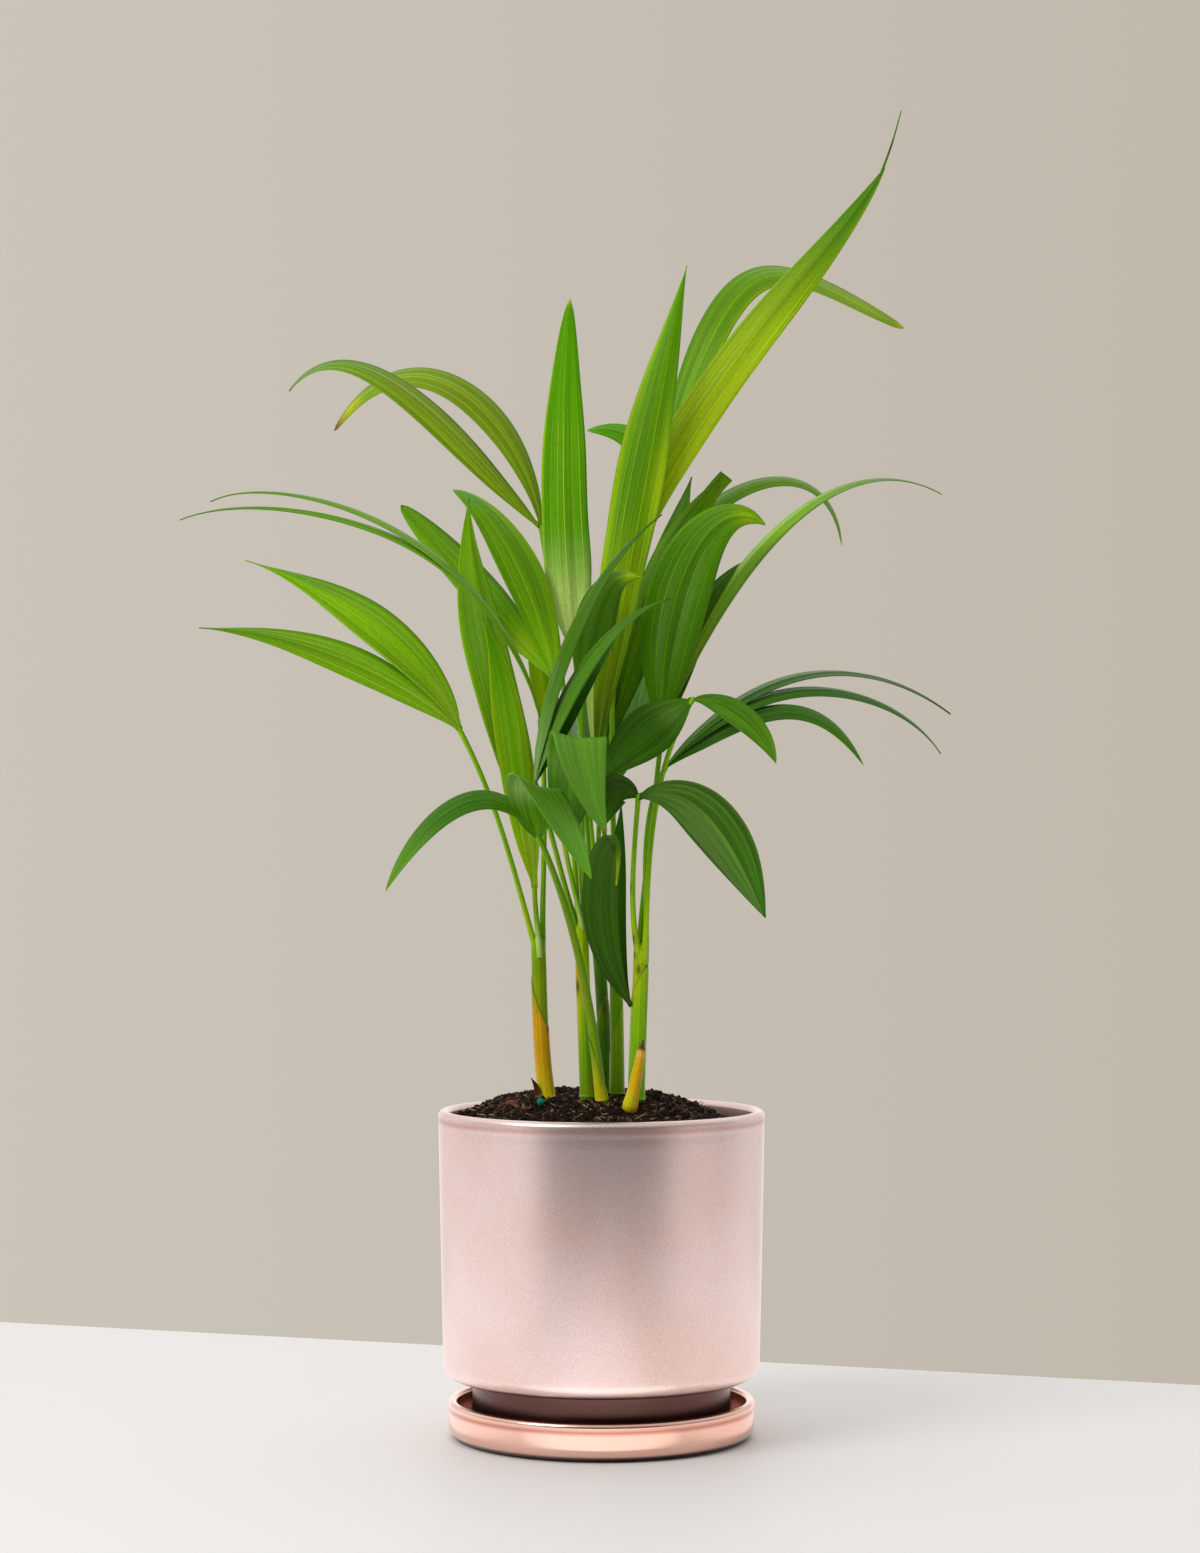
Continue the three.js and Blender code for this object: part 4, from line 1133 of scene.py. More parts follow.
# %% [markdown]
# ## Leaves
# A seedling of this palm has no feather leaves yet. Each leaf has one to three long lobes, which
# are pleated along their veins. A lobe is a sheet on its curve: narrow at its root,
# widest at its belly and drawn out to a point, with a rule for its width that the CAD source
# shares. The pleats are folded into the mesh, the pale veins are narrow columns of it, and dried
# tips, bloom and blotches are painted by their place on the lobe. So are the painted shade of the
# folds and a few patches of painted sheen.

# %% Width of a lobe
RIDGE_SHARE = 0.07
ROOT_SHARE = 0.14
TIP_SHARE = 0.035
PLAIN_FORM = dict(belly=0.42, swelling=0.85, thinning=1.15)


def lobe_share(share, belly, swelling, thinning):
    """Width along a lobe, as a share of its widest, which is at its belly. A low swelling widens
    it early, and a low thinning keeps it wide towards its tip."""
    widening = np.sin(math.pi / 2 * np.minimum(1, share / belly)) ** swelling
    narrowing = np.cos(math.pi / 2 * np.clip((share - belly) / (1 - belly), 0, 1)) ** thinning
    return np.maximum(np.maximum(ROOT_SHARE * (1 - share), widening * narrowing), TIP_SHARE * (1.6 - share))


plain = lobe_share(np.array([0.1, 0.42, 0.8]), **PLAIN_FORM).round(2)
print("plain lobe, near its root, at its belly and near its tip:", plain)

# %% [markdown]
# ## Painting a lobe
# A leaf's colour follows its growth: one tone at the root, one on the blade and one at the end,
# with veins, a pale rib at the root, darker or brighter edges and a tip that dries first. Each is
# a soft mask over two places, the share of the length and the place across, so a few numbers for
# each lobe say what the photograph shows.

# %% Paint of a lobe
COLUMNS = 15
VEIN_WIDTH = 0.026
VEIN_SHIFT = 0.22
DRIFT, STREAK = 0.10, 0.10
RIB_WIDTH = 0.16
TIP_FADE = 0.04


def lobe_columns(veins, seed):
    """Places across a lobe, from -1 to 1, with three close together at each vein."""
    draw = np.random.RandomState(seed)
    middles = [-1 + 2 * (k + 1 + draw.uniform(-VEIN_SHIFT, VEIN_SHIFT)) / (veins + 1) for k in range(veins)]
    places = list(np.linspace(-1, 1, COLUMNS))
    places = [p for p in places if all(abs(p - m) > 1.8 * VEIN_WIDTH for m in middles)]
    for middle in middles:
        places += [middle - VEIN_WIDTH, middle, middle + VEIN_WIDTH]
    return np.array(sorted(places)), np.array(middles)


def paint_lobe(entry, share, place, length, middles, seed):
    """Colour by place: share runs from root to tip and place from -1 to 1 across."""
    root, body, end = (TONES[tone] for tone in entry["tones"].split())
    colour = mix(mix(root, body, smooth(share, 0.02, 0.38)), end, smooth(share, 0.55, 0.95))
    drift = wander(seed, share * length / 11, place * 2.2)
    streak = wander(seed + 50, share * length / 40, place * 11)
    colour = colour * (1 + DRIFT * drift + STREAK * streak)[..., None]
    for side, tone, width, strength in entry["edges"]:
        colour = mix(colour, TONES[tone], strength * smooth(place * side, 1 - width, 1.0))
    # Spots are the leaf's own marks, but a few are painted sheen or a painted highlight and one is painted
    # shade
    for tone, at, across, long, wide, strength in entry["spots"]:
        near = np.exp(-((share - at) / long) ** 2 - ((place - across) / wide) ** 2)
        colour = mix(colour, TONES[tone], strength * near)
    tone, _, strength = entry["vein"]
    vein = np.zeros(np.broadcast(share, place).shape)
    for k, middle in enumerate(middles):
        strong = 0.45 + 0.55 * ((k * 0.618 + seed * 0.37) % 1)
        vein = np.maximum(vein, (np.abs(place - middle) < VEIN_WIDTH / 2) * strong)
    fade = 1 - smooth(share, 0.6, entry["vein_end"])
    colour = mix(colour, TONES[tone], strength * vein * fade)
    rib = np.exp(-(place / RIB_WIDTH) ** 2) * (1 - smooth(share, 0.0, 0.3))
    colour = mix(colour, TONES[tone], 0.45 * rib)
    tone, start = entry["tip_tone"]
    return mix(colour, TONES[tone], 0.85 * smooth(share, start, min(1, start + TIP_FADE)))


print("a lobe has", len(lobe_columns(4, 1)[0]), "columns")

# %% [markdown]
# ## Folding a lobe
# Between two veins a blade is folded like a fan, its root is a gutter and its edge flutters a
# little. A displaced plane could do this, but then the veins would cut across its grid. So the
# columns of the skin are laid on the veins, and every fold is a height over the lobe's own frame.
# The upper and the lower face are about 0.3 mm apart, and more at the root. The shade of the
# folds is painted into the tint as well: a dark line beside each vein, darker valleys, and panels
# painted a little lighter or darker as if each faced the light in its own way.

# %% Skin of a lobe
MILLIMETRES_A_ROW = 2.1
PLEAT = 0.2
GUTTER = 0.16
FLUTTER = 0.35
WAVE = 0.035
BLADE_THICKNESS, ROOT_THICKNESS, RIDGE_THICKNESS = 0.26, 0.5, 0.1
# Reach of the painted shadow beside each vein, as a share of a panel
PLEAT_SHADOW_WIDTH = 0.16


def lobe_skin(skins, hub, entry, seed):
    """Adds one lobe as a thin closed sheet."""
    points = route(hub, entry["tip"], entry["start"], entry["end"], entry["pull"], entry["depth"])
    length = curve_length(points)[-1]
    rows = max(40, int(length / MILLIMETRES_A_ROW))
    shares = np.linspace(0, 1, rows)
    centre, along, across, face = stations(points, shares, entry["roll"])
    columns, middles = lobe_columns(entry["vein"][1], seed)
    share, place = shares[:, None], columns[None, :]
    beyond = np.abs(place)
    wide = entry["width"] * lobe_share(share, entry["belly"], entry["swelling"], entry["thinning"])
    wide = np.maximum(wide, entry["width"] * entry["cut"] * smooth(share, 0.5, 0.8))
    knots = np.concatenate([[-1], middles, [1]])
    panel = np.interp(columns, knots, np.arange(len(knots)))[None, :]
    fold = np.sin(math.pi * (panel % 1))
    pleats = -PLEAT * fold * np.minimum(1, 1.5 * wide / entry["width"]) * entry["pleat"]
    gutter = GUTTER * wide * beyond * (1 - smooth(share, 0, 0.2))
    flutter = FLUTTER * wander(seed + 20, share * length / 12, 0 * place) * place ** 2
    flutter = flutter * smooth(share, 0.2, 0.6)
    lift = RIDGE_SHARE * wide * (1 - beyond) + pleats + gutter + flutter
    thick = (BLADE_THICKNESS + ROOT_THICKNESS * np.exp(-share * length / 9) * (1 - 0.5 * beyond)
             + RIDGE_THICKNESS * (1 - beyond))
    wave = WAVE * wander(seed + 9, share * length / 8, np.sign(place) * 2) * beyond
    out = across[:, None] * (wide * place / 2 * (1 + wave))[..., None]
    top = centre[:, None] + out + face[:, None] * (lift + thick / 2)[..., None]
    under = centre[:, None] + out + face[:, None] * (lift - thick / 2)[..., None]
    colour = paint_lobe(entry, share, place, length, middles, seed)
    # Painted shade on the upper face: a dark line beside each vein, darker valleys, panels lit unevenly
    pleat_shadow = np.exp(-(panel % 1) / PLEAT_SHADOW_WIDTH) * (panel % 1 > 0)
    tilt = 0.1 * np.sin(np.floor(panel) * 2.4 + seed)
    shade = ((1.02 + tilt - 0.28 * pleat_shadow - 0.04 * fold) * np.ones_like(share))[..., None]
    below = mix(colour, TONES[entry["under"]], np.full(colour.shape[:2], 0.22))
    rings = np.concatenate([top, under[:, ::-1]], 1)
    # The lower face is painted darker in its valleys, as shade
    tints = np.concatenate([colour * shade, (below * (1 - 0.1 * fold)[..., None])[:, ::-1]], 1)
    around = np.append((columns + 1) / 2, (columns[::-1] + 1) / 2)
    skins.add(rings, tints, around, shares * length / UV_STRIP, flat=True)
    return points


print("a lobe has a row every", MILLIMETRES_A_ROW, "mm")

# %% [markdown]
# ## The leaves of this plant
# Leaves that are scattered by a rule look alike, and no two on this plant are. So each was placed
# one by one from the photograph. An entry gives the leaf's seat on its stem, the place of its hub
# and the headings of its stalk, then each lobe's tip, headings, width and roll, as in the CAD
# source, with its colours.

# %% Leaf table
# What a lobe has unless its entry says otherwise
PLAIN_LOBE = dict(
    PLAIN_FORM,
    roll=(0, 0),  # turn of its face at root and tip, in degrees
    pull=EVEN_PULL,  # reach of its two headings
    depth=EVEN_DEPTH,  # share of its depth that it has gained at the curve's two middle points
    cut=0,  # width that its outer part keeps, for a blade that ends bluntly
    pleat=1,  # depth of its folds, as a share of a plain one's
    vein_end=0.95,  # where its veins have faded
    under="grey",  # tone of its lower face
    tip_tone=("deep", 0.98),  # tone of its tip and where that starts
    edges=(),  # (side, tone, reach, strength)
    spots=(),  # (tone, place along, place across, reach along, reach across, strength)
    parted=False,  # the CAD source has its outer half as a node of its own
    awn=None,  # where its dry thread ends
)


def lobe(tip, start, end, width, tones, vein, **more):
    """An entry: the place of its tip, its headings at root and tip, its width, its tones from root
    to tip, its veins as (tone, number, strength), and what sets it apart from a plain lobe."""
    return {**PLAIN_LOBE, **more, "tip": tip, "start": start, "end": end, "width": width,
            "tones": tones, "vein": vein}


# A leaf with no seat has no stalk: it grows from its stem's end where top is set, else from its side
LEAVES = {
    "low_left": dict(
        on="left", seat=(-2, -1), hub=(-56, -40, 285), start=105, end=118, stalk="stalk_lime",
        skin="leaf_bright_green", lobes=dict(
            upper=lobe((-139, -62, 351), 110, 164, 18.5, "light young young", ("cream", 4, 0.75),
                belly=0.47, thinning=1.8, roll=(28, 48), tip_tone=("gold", 0.965),
                edges=[(-1, "deep", 0.3, 0.6), (1, "pale", 0.1, 0.35)],
                # The blue patch towards the tip is painted sheen; the orange dot is the leaf's own
                spots=[("blue", 0.78, -0.3, 0.12, 0.4, 0.45), ("orange", 0.45, -0.4, 0.006, 0.06, 0.8)]),
            lower=lobe((-154, -85, 323), 138, 180, 15.5, "light young moss", ("cream", 4, 0.75),
                thinning=1.5, roll=(30, 50), tip_tone=("orange", 0.965),
                edges=[(-1, "deep", 0.3, 0.45), (1, "light", 0.25, 0.4)],
                # The blue patch towards the tip is painted sheen; the orange dot is the leaf's own
                spots=[("blue", 0.8, -0.2, 0.1, 0.4, 0.4), ("orange", 0.6, 0.3, 0.006, 0.06, 0.8)]),
        )),
    "tall_left": dict(
        on="left", seat=(0.2, -2.4), hub=(-27, -19, 222), start=95, end=92, stalk="stalk_pale",
        skin="leaf_blue_green", lobes=dict(
            rear=lobe((-54, -9, 381), 91, 86, 19, "lime light young", ("silver", 4, 0.45), belly=0.6,
                roll=(10, 30), edges=[(-1, "blue", 0.4, 0.3)], spots=[("blue", 0.65, 0.3, 0.16, 0.5, 0.4)]),
            front=lobe((-48, -19, 332), 104, 112, 14, "lime young fresh", ("cream", 4, 0.5), belly=0.58,
                roll=(15, 30), edges=[(-1, "lime", 0.5, 0.8), (1, "lime", 0.35, 0.8)]),
        )),
    "reaching_left": dict(
        on="left", seat=(1.7, 1.4), hub=(-24.5, -26, 289), start=90, end=96, stalk="stalk_green",
        skin="leaf_deep_green", lobes=dict(
            upper=lobe((-154, -50, 375), 104, 211, 8.5, "moss moss laurel", ("vein", 2, 0.5), roll=(72, 76),
                pull=(0.54, 0.18), parted=True, edges=[(-1, "grey", 0.6, 0.6)]),
            lower=lobe((-165, -58, 367), 103, 205, 8.5, "moss moss laurel", ("yellow", 1, 0.6),
                roll=(72, 78), pull=(0.53, 0.22), parted=True, edges=[(-1, "grey", 0.6, 0.6)]),
        )),
    "slim_front": dict(
        on="middle", seat=(-2.3, -0.8), hub=(-26, -40, 263.5), start=108, end=110, stalk="stalk_green",
        skin="leaf_blue_green", lobes=dict(
            upper=lobe((24, -42, 371), 84, 36, 12, "grey holly bottle", ("silver", 1, 0.6), roll=(-56, -68),
                tip_tone=("brown", 0.95), edges=[(1, "grey", 0.5, 0.5)]),
            lower=lobe((27, -58, 336), 75, 14, 12, "grey holly bottle", ("silver", 1, 0.6), roll=(-54, -68),
                tip_tone=("brown", 0.96), edges=[(1, "grey", 0.5, 0.6)]),
            short=lobe((9, -36, 328), 66, 58, 9, "holly bottle bottle", ("silver", 1, 0.4), roll=(-40, -60),
                tip_tone=("brown", 0.97)),
        )),
    "spear": dict(
        on="dark", seat=(-1.2, -1.2), hub=(-10.5, -2, 317.5), start=92, end=92, stalk="stalk_green",
        skin="leaf_bright_green", lobes=dict(
            only=lobe((-13, 12, 466), 97, 86, 20, "milk fresh fresh", ("cream", 5, 0.7), belly=0.3,
                swelling=0.65, thinning=0.65, roll=(8, 8), vein_end=0.7, tip_tone=("yellow", 0.975),
                edges=[(1, "lime", 0.18, 0.5), (-1, "deep", 0.2, 0.3)],
                spots=[("light", 0.5, 0, 0.25, 0.5, 0.3)]),
        )),
    "arching_left": dict(
        on="middle", seat=(1.4, 2.1), hub=(-25, 20, 371), start=95, end=100, stalk="stalk_lime",
        skin="leaf_bright_green", lobes=dict(
            front=lobe((-132, 42, 432), 140, 231, 15.5, "olive olive moss", ("vein", 4, 0.85), belly=0.5,
                thinning=0.7, roll=(34, 52), pull=(0.22, 0.4), parted=True, tip_tone=("deep", 0.985),
                edges=[(-1, "deep", 0.35, 0.6), (1, "light", 0.2, 0.4)]),
            rear=lobe((-116, 78, 420), 98, 234, 13.5, "olive olive spring", ("vein", 4, 0.7), thinning=0.5,
                roll=(32, -6), pull=(0.45, 0.6), parted=True, tip_tone=("brown", 0.955),
                # Its grey edge is painted sheen
                edges=[(-1, "grey", 0.35, 0.6)],
                spots=[("yellow", 0.92, 0, 0.05, 1, 0.7), ("orange", 0.965, 0, 0.02, 1, 0.6)]),
        )),
    "mid_left": dict(
        on="middle", seat=(-1.5, 2.1), hub=(-19.5, -12, 307), start=92, end=98, stalk="stalk_lime",
        skin="leaf_bright_green", lobes=dict(
            upper=lobe((-61, 4, 386), 98, 158, 18.5, "young moss moss", ("vein", 4, 0.6), belly=0.5,
                thinning=0.65, roll=(14, 36), pull=(0.45, 0.2), tip_tone=("blue", 0.98),
                edges=[(-1, "lime", 0.2, 0.5), (1, "deep", 0.3, 0.35)],
                spots=[("blue", 0.9, 0, 0.06, 1, 0.6)]),
            lower=lobe((-84, 28, 382), 128, 136, 17, "young moss moss", ("vein", 4, 0.5), belly=0.5,
                thinning=0.5, roll=(16, 36), depth=(0.35, 0.75), edges=[(-1, "deep", 0.3, 0.5)],
                # The lime band near its root is painted sheen
                spots=[("lime", 0.2, 0, 0.08, 1, 0.5)]),
        )),
    "tallest": dict(
        on="back", seat=(-1.1, -1), hub=(-2, -4, 274), start=93, end=96, stalk="stalk_lime",
        skin="leaf_bright_green", lobes=dict(
            left=lobe((35, -4, 477), 84, 76, 20.5, "lime grass grass", ("vein", 5, 0.5), belly=0.55,
                roll=(-8, -14), tip_tone=("lime", 0.985),
                edges=[(1, "lime", 0.4, 0.7), (-1, "blue", 0.2, 0.5)],
                spots=[("green", 0.62, -0.1, 0.24, 0.5, 0.6), ("moss", 0.82, -0.2, 0.14, 0.6, 0.6),
                       ("lime", 0.34, 0, 0.1, 1.5, 0.5), ("lime", 0.56, -0.85, 0.11, 0.4, 0.8),
                       # The dark patch at its root is painted shade, deep in the clump
                       ("dark", 0.05, 0, 0.12, 3, 0.9)]),
            right=lobe((118, 18, 522), 98, 62, 19, "pale lime fern", ("vein", 5, 0.8), belly=0.62,
                thinning=0.8, roll=(-10, -30), pull=(0.4, 0.2), awn=(125, 20, 546),
                tip_tone=("bright", 0.98), edges=[(1, "light", 0.25, 0.4), (-1, "lime", 0.3, 0.6)],
                # The silver patch near its root is painted sheen; the orange dots are the leaf's own
                spots=[("silver", 0.1, 0.1, 0.08, 0.6, 0.35), ("orange", 0.5, 0.2, 0.005, 0.05, 0.8),
                       ("orange", 0.66, -0.3, 0.005, 0.05, 0.8)]),
        )),
    "hooked_back": dict(
        on="back", seat=(1.1, 1.1), hub=(22.5, 22, 386), start=92, end=66, stalk="stalk_green",
        skin="leaf_bright_green", lobes=dict(
            right=lobe((130, 62, 462), 74, -24, 16, "grass moss spring", ("vein", 4, 0.5), thinning=0.45,
                roll=(-42, -12), pull=(0.95, 0.5), parted=True, tip_tone=("yellow", 0.97),
                edges=[(1, "deep", 0.6, 0.35), (-1, "lime", 0.3, 0.6)],
                spots=[("lime", 0.88, 0, 0.1, 1, 0.6)]),
            left=lobe((-6, 30, 414), 118, 186, 13, "fresh fresh fresh", ("light", 3, 0.4), thinning=0.7,
                roll=(20, 30), pull=(0.18, 0.72), tip_tone=("light", 0.97)),
        )),
    "dark_hook": dict(
        on="middle", seat=(2.3, -0.8), hub=(-7.5, -12, 298.5), start=95, end=88, stalk="stalk_green",
        skin="leaf_deep_green", lobes=dict(
            only=lobe((17, -26, 347), 84, -18, 17, "fern ivy ivy", ("green", 6, 0.4), belly=0.5,
                roll=(-10, -20), pull=(0.7, 0.3), under="lime", tip_tone=("lime", 0.96),
                edges=[(1, "bright", 0.15, 0.4)], spots=[("lime", 0.92, 0, 0.07, 1, 0.9)]),
        )),
    "broad_right": dict(
        on="right", seat=(-0.8, 2.3), hub=(24.5, -4, 285), start=86, end=84, stalk="stalk_green",
        skin="leaf_deep_green", lobes=dict(
            broad=lobe((66, -20, 369), 90, -42, 26, "fern fern palm", ("young", 5, 0.6), belly=0.5,
                thinning=0.9, roll=(-8, -16), pull=(0.75, 0.25), tip_tone=("light", 0.97),
                # The two grey bands are painted sheen
                spots=[("grey", 0.35, 0.3, 0.2, 0.15, 0.6), ("grey", 0.5, -0.35, 0.2, 0.15, 0.5),
                       ("lime", 0.93, 0, 0.06, 1, 0.5)]),
            behind=lobe((64, 8, 359), 76, 26, 14, "ivy ivy ivy", ("green", 3, 0.4), roll=(-20, -36)),
            strip=lobe((141, 14, 385), 72, -28, 12.5, "lime light fern", ("green", 1, 0.8), thinning=0.8,
                roll=(-52, -68), pull=(0.5, 0.32), parted=True, tip_tone=("yellow", 0.98),
                edges=[(-1, "green", 0.7, 0.6)]),
        )),
    "dark_fan": dict(
        on="dark", seat=(1.3, -1.2), hub=(0.5, 8, 276), start=92, end=86, stalk="stalk_green",
        skin="leaf_deep_green", lobes=dict(
            folded=lobe((38, 28, 394), 72, 74, 16, "ivy fern fern", ("green", 4, 0.5), belly=0.62,
                roll=(-20, -34)),
            blunt=lobe((52, 16, 393), 70, 46, 17, "ivy laurel laurel", ("young", 4, 0.4), belly=0.62,
                thinning=0.8, cut=0.42, roll=(-12, -26), tip_tone=("green", 0.98),
                spots=[("brown", 0.97, 0.3, 0.012, 0.12, 0.9), ("brown", 0.955, -0.3, 0.01, 0.1, 0.8)]),
            arched=lobe((101, 34, 366), 85, -84, 13, "fern laurel laurel", ("light", 2, 0.4), thinning=0.6,
                roll=(-46, -46), pull=(0.85, 0.41), depth=(0.6, 0.8), parted=True,
                tip_tone=("yellow", 0.98)),
        )),
    "low_centre": dict(
        on="right", seat=(1.5, -2), hub=(36, -24, 297.5), start=88, end=60, stalk="stalk_lime",
        skin="leaf_deep_green", lobes=dict(
            folded=lobe((0, -38, 264), 214, 240, 21, "fern pine pine", ("green", 5, 0.5), roll=(8, 20),
                # Its grey patch is painted sheen
                edges=[(-1, "deep", 0.3, 0.5)], spots=[("grey", 0.18, 0, 0.12, 0.7, 0.5)]),
            right=lobe((69, -42, 272), 8, -74, 11, "holly holly palm", ("young", 4, 0.4), thinning=0.85,
                roll=(-30, -40), tip_tone=("yellow", 0.98), edges=[(1, "grey", 0.2, 0.3)]),
        )),
    "reaching_right": dict(
        on="right", seat=(1.8, 1.1), hub=(25.5, -14, 270.5), start=88, end=62, stalk="stalk_green",
        skin="leaf_deep_green", lobes=dict(
            upper=lobe((144, 10, 294), 50, -36, 10, "green deep deep", ("silver", 1, 0.4), thinning=0.85,
                roll=(-58, -70), pull=(0.55, 0.31), edges=[(1, "grey", 0.5, 0.6)]),
            middle=lobe((138, -6, 277), 48, -57, 11, "mid deep deep", ("silver", 2, 0.4), thinning=0.85,
                roll=(-58, -68), pull=(0.58, 0.28), edges=[(1, "grey", 0.5, 0.6)]),
            lower=lobe((105, -26, 272), 35, -61, 11, "mid deep mid", ("silver", 2, 0.4), thinning=0.85,
                roll=(-50, -60), pull=(0.42, 0.55), tip_tone=("yellow", 0.98),
                edges=[(1, "blue", 0.4, 0.5)]),
        )),
    "low_right": dict(
        on="right", seat=(-1.8, -2.2), hub=(14.5, -38, 258), start=100, end=86,
        scars=[("umber", 0.06, 0.12, 2.2, 0.12, 0.9), ("umber", 0.4, 0.08, 2.4, 0.1, 0.9)],
        stalk="stalk_lime", skin="leaf_deep_green", lobes=dict(
            right=lobe((63, -76, 212), 20, -68, 20.5, "deep pine bottle", ("palm", 5, 0.4), thinning=0.9,
                roll=(-24, -34), pull=(0.4, 0.35), tip_tone=("brown", 0.985),
                edges=[(1, "grey", 0.12, 0.4)],
                spots=[("brown", 0.9, -0.1, 0.008, 0.12, 0.9), ("grass", 0.55, -0.05, 0.3, 0.1, 0.4)]),
            left=lobe((0, -45, 246), 140, 256, 13, "dark dark deep", ("green", 4, 0.4), roll=(24, 36),
                pull=(0.8, 0.5)),
        )),
    "front_left": dict(
        on="front", top=True, hub=(-24.5, -46, 242.5), skin="leaf_deep_green", lobes=dict(
            left=lobe((-84, -60, 222), 122, 246, 11, "laurel bottle grass", ("grey", 3, 0.6), thinning=0.8,
                roll=(46, 60), pull=(0.62, 0.42), parted=True, tip_tone=("gold", 0.98),
                edges=[(-1, "grey", 0.3, 0.5)]),
            right=lobe((-4, -80, 227), 100, -58, 24, "holly bright fresh", ("young", 6, 0.5), belly=0.4,
                swelling=0.55, thinning=0.8, pull=(2, 0.5), depth=(0.05, 0.95), tip_tone=("lime", 0.96),
                # The silver band at the top of its arch is a painted highlight
                spots=[("silver", 0.28, 0, 0.07, 1, 0.5)]),
        )),
    "front_right": dict(
        on="middle", seat=(0, -2.4), hub=(-15, -34, 242), start=100, end=98, stalk="stalk_pale",
        skin="leaf_deep_green", lobes=dict(
            over=lobe((2, -62, 245), 81, -62, 23, "bottle sage sage", ("green", 6, 0.5), belly=0.46,
                swelling=0.55, thinning=0.8, roll=(20, 0), pull=(4.2, 2), depth=(0.6, 0.95),
                tip_tone=("orange", 0.97), spots=[("silver", 0.35, 0, 0.06, 1, 0.3)]),
            bud=lobe((-11, -28, 299), 96, 64, 7, "light green deep", ("light", 2, 0.4), roll=(-30, -40),
                tip_tone=("yellow", 0.97)),
        )),
    "drooping": dict(
        on="right", hub=(12, -25, 175.5), skin="leaf_deep_green", lobes=dict(
            front=lobe((6, -46, 224), 122, -98, 14.5, "dark pine pine", ("fern", 5, 0.6), belly=0.5,
                thinning=0.8, pull=(1.1, 0.9), depth=(0.35, 0.95), tip_tone=("yellow", 0.96),
                spots=[("lime", 0.93, 0, 0.06, 1, 0.8), ("straw", 0.46, 0.2, 0.004, 0.06, 0.9)]),
            rear=lobe((8, -14, 258), 118, 88, 11, "dark deep deep", ("green", 3, 0.4), roll=(-10, -10),
                depth=(0.6, 1)),
        )),
    "young_lime": dict(
        on="dark", seat=(-1.2, 1.3), hub=(-18.5, 10, 280), start=98, end=106, stalk="stalk_lime",
        skin="leaf_lime", lobes=dict(
            only=lobe((-32, 16, 336), 106, 112, 10, "lime lime light", ("yellow", 3, 0.5), roll=(10, 10),
                tip_tone=("yellow", 0.97)),
        )),
    "back_right": dict(
        on="back", seat=(0.4, 3), hub=(4.5, 22, 263), start=91, end=90, stalk="stalk_green",
        skin="leaf_deep_green", lobes=dict(
            right=lobe((30, 105, 331), 70, 30, 19, "green mid green", ("light", 5, 0.5), depth=(0.2, 0.55),
                tip_tone=("gold", 0.97), edges=[(1, "deep", 0.3, 0.5)]),
            left=lobe((-10, 96, 324), 105, 130, 18, "green deep green", ("light", 5, 0.5),
                depth=(0.2, 0.55), tip_tone=("gold", 0.97), edges=[(-1, "deep", 0.3, 0.5)]),
        )),
    "back_left": dict(
        on="dark", seat=(1.3, 1.3), hub=(-5.5, 18, 258.5), start=92, end=96, stalk="stalk_green",
        skin="leaf_deep_green", lobes=dict(
            left=lobe((-24, 108, 298), 110, 160, 18, "green mid mid", ("light", 5, 0.5), depth=(0.2, 0.55),
                tip_tone=("gold", 0.97)),
            right=lobe((1, 118, 305), 84, 40, 17, "green deep mid", ("light", 5, 0.5), depth=(0.2, 0.55),
                tip_tone=("orange", 0.97)),
        )),
}
print("leaves", len(LEAVES), "lobes", sum(len(leaf["lobes"]) for leaf in LEAVES.values()))

# %% [markdown]
# ## Stalks
# A stalk leaves the dome of its stem, carries the leaf out of the clump and swells where the lobes
# part. It is the same kind of tube as a stem, only slimmer. Its foot starts deep inside the stem,
# so no gap shows there. A few small brown flecks lie at random places from a fixed seed.

# %% Make the stalks
STALK_SIDES = 16
STALK_RISE = 0.6
STALK_DEPTH = (0.3, 0.7)
STALK_SUNK = 7
HUB_RISE = 0.7
# Tones from foot to top, then the tone painted on the right side as shade
STALK_TONES = {
    "stalk_lime": (("lime", "light", "light"), "moss"),
    "stalk_green": (("moss", "light", "grass"), "fern"),
    "stalk_pale": (("pale", "light", "lime"), "green"),
}


def stalk_route(leaf):
    """The stalk's curve, from its seat on a stem to the leaf's hub."""
    x, y, z = STEMS[leaf["on"]]["top"]
    seat = (x + leaf["seat"][0], y + leaf["seat"][1], z + STALK_RISE)
    return route(seat, leaf["hub"], leaf["start"], leaf["end"], depth=STALK_DEPTH)


def hub_of(leaf):
    """A little beyond the end of what carries the leaf, so that its lobes start clear of that."""
    if "seat" in leaf:
        return np.array(leaf["hub"]) + on_curve(stalk_route(leaf), [1])[1][0] * HUB_RISE
    if leaf.get("top"):
        return np.array(leaf["hub"]) + heading(STEMS[leaf["on"]]["end"]) * HUB_RISE
    return np.array(leaf["hub"], float)


def stalk_radius(share):
    """Thick where it leaves the sheath, slim in the middle and swollen again at the hub."""
    return 1.05 + 0.3 * np.exp(-share * 8) + 0.12 * np.exp(-(1 - share) * 14) - 0.05 * share


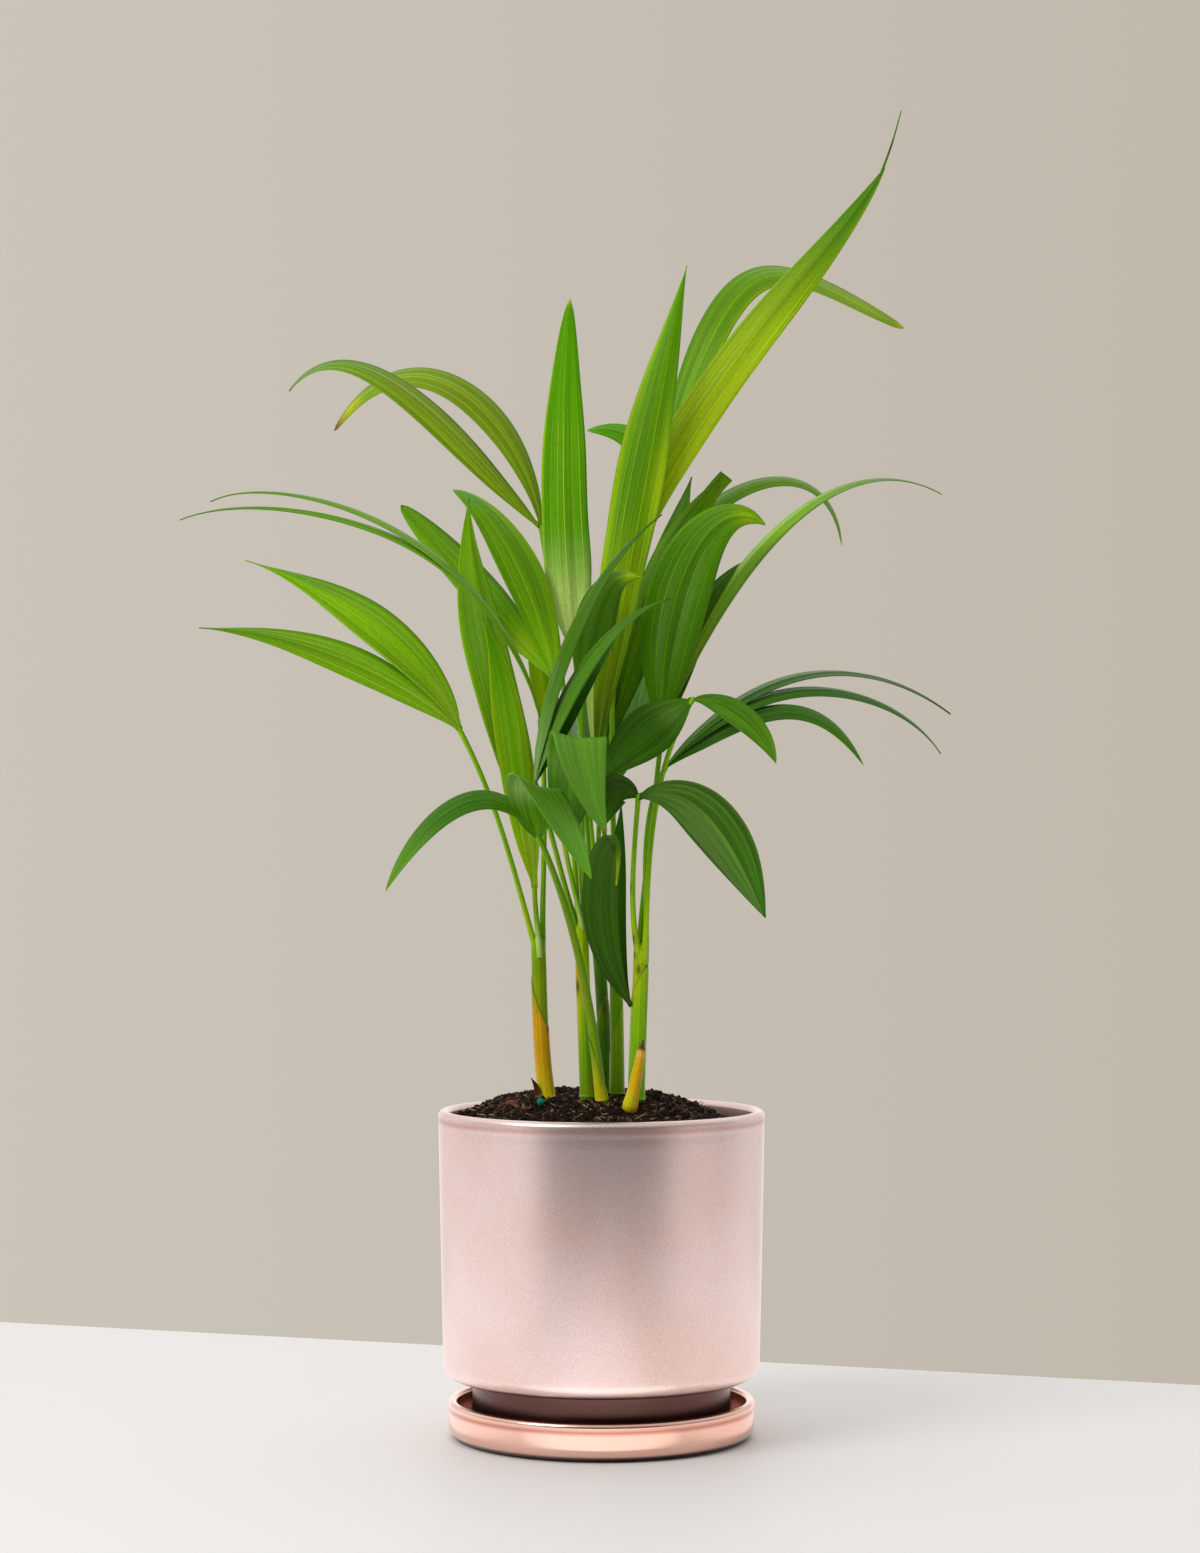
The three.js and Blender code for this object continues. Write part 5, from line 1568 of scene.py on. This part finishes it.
def make_stalk(name, leaf, number):
    """One stalk with its flecks and scars. Gives its length."""
    tones, side = STALK_TONES[leaf["stalk"]]
    points = stalk_route(leaf)
    length = curve_length(points)[-1]
    draw = np.random.RandomState(100 + number)
    flecks = [("brown", draw.uniform(0.1, 0.9), draw.uniform(0, 1), 0.5, 0.05, 0.6) for _ in range(6)]
    flecks += leaf.get("scars", [])
    skins = Skins()
    tube(skins, points, stalk_radius,
         lambda share, turn: paint_limb(share, turn, tones, side, length, number, flecks),
         sides=STALK_SIDES, rows=max(30, int(length / 2)), sunk=STALK_SUNK, dome=2.4)
    skins.piece(f"{name}_leaf_stalk", STALK_SKIN, [f"stalk_{name}"])
    return length


lengths = [make_stalk(name, leaf, number)
           for number, (name, leaf) in enumerate(LEAVES.items()) if "seat" in leaf]
print("stalks", len(lengths), "longest", round(max(lengths)), "mm")

# %% [markdown]
# ## Growing the leaves
# The lobes of a leaf meet at its hub. They could be separate pieces, but they grow from one hub
# and bend together, so they are skins of one piece. A lobe that is split at its bend in the
# CAD source stands for two nodes there. The tallest leaf ends in an awn, a dry thread that is all
# that remains of the tip it grew with.

# %% Make the leaves
AWN_FROM = 0.985
AWN_BEND = (0.6, 0, -0.4)


def awn_radius(share):
    """An even taper."""
    return 0.62 - 0.4 * share


def paint_awn(share, turn):
    """Green, with a dried brown middle."""
    dried = np.exp(-((share - 0.45) / 0.12) ** 2) * np.ones_like(turn)
    return mix(TONES["green"], TONES["brown"], 0.9 * dried)


def add_awn(skins, points, tip):
    """The thread at a lobe's end, from just inside it to its own tip."""
    lengths = curve_length(points)
    t = np.interp(AWN_FROM * lengths[-1], lengths, np.linspace(0, 1, len(lengths)))
    start = on_curve(points, [t])[0][0]
    bend = (start + np.array(tip)) / 2 + np.array(AWN_BEND)
    tube(skins, np.array([start, bend, bend, tip]), awn_radius, paint_awn, sides=8, rows=24, dome=0.4)


def make_leaf(name, leaf, number):
    """All lobes of a leaf as one piece. Gives its number of faces."""
    skins = Skins()
    hub = hub_of(leaf)
    nodes = [f"frond_{name}"]
    for k, (side, entry) in enumerate(leaf["lobes"].items()):
        points = lobe_skin(skins, hub, entry, 1000 + 20 * number + 3 * k)
        if entry["parted"]:
            nodes.append(f"frond_{name}_{side}_tip")
        if entry["awn"]:
            add_awn(skins, points, entry["awn"])
    made = skins.piece(f"{name}_leaf", LEAF_SKINS[leaf["skin"]], nodes)
    return len(made.data.polygons)


faces = [make_leaf(name, leaf, number) for number, (name, leaf) in enumerate(LEAVES.items())]
print("leaves", len(faces), "faces", sum(faces))

# %% [markdown]
# ## Bits on the soil
# A grain of coated fertiliser, two chips of red bark and a dried shard of an old sheath lie where
# the photograph shows them. A scatter would put them anywhere, so each is a skin of its own: a
# ball that noise makes uneven, and one small lobe for the shard.

# %% Make the bits
# A polymer coat round the grain: an even blue-green that nothing else here has
PRILL_COAT = matt("blue-green fertiliser coat", "#0f8a6e", "#0b7a62", 5)
# Bark of a conifer: a dull rusty red
RED_BARK = matt("red bark", "#6a3a26", "#8a5236", 2)
# A dry sheath has lost its wax, so it is papery and has no gloss
DRY_SHEATH = plant_skin("dried sheath", 0.7, 5, 0.5, 0.15, 0.0)
PEBBLE_ROWS, PEBBLE_SIDES = 14, 20


def pebble(name, middle, size, material, seed, bump):
    """A rounded lump with its own unevenness."""
    skins = Skins()
    levels = np.radians(np.linspace(-88, 88, PEBBLE_ROWS))
    turns = np.linspace(0, 2 * math.pi, PEBBLE_SIDES, endpoint=False)
    ball = np.stack([np.outer(np.cos(levels), np.cos(turns)), np.outer(np.cos(levels), np.sin(turns)),
                     np.repeat(np.sin(levels)[:, None], PEBBLE_SIDES, 1)], -1)
    rough = 1 + bump * wander(seed, ball[..., 0] * 3 + ball[..., 2] * 2, ball[..., 1] * 3)
    skins.add(ball * rough[..., None] * np.array(size) + np.array(middle), np.ones(ball.shape),
              turns / 2 / math.pi, levels, flat=False)
    return skins.piece(name, material, [])


def on_soil(x, y, lift):
    """A place at a height over the soil's surface."""
    return x, y, float(soil_height(x, y)) + lift


pebble("fertiliser_prill", on_soil(-24.2, -29.0, 1.7), (1.5, 1.5, 1.5), PRILL_COAT, 2, 0.01)
pebble("red_bark_chip", on_soil(-35.9, -19.0, 0.9), (2.7, 1.8, 1.3), RED_BARK, 4, 0.12)
pebble("bark_chip_small", on_soil(-30.0, -30.0, 0.7), (1.9, 1.2, 0.7), RED_BARK, 7, 0.12)

shard = Skins()
lobe_skin(shard, on_soil(-24.6, -21.5, -1.0),
          lobe((-28.4, -22.5, 146.6), 95, 125, 2.6, "straw brown umber", ("brown", 1, 0.5),
               roll=(10, 30), pleat=0.5, tip_tone=("umber", 0.9), under="umber"), 77)
shard.piece("dried_sheath_shard", DRY_SHEATH, [])
print("shard faces", len(shard.faces))
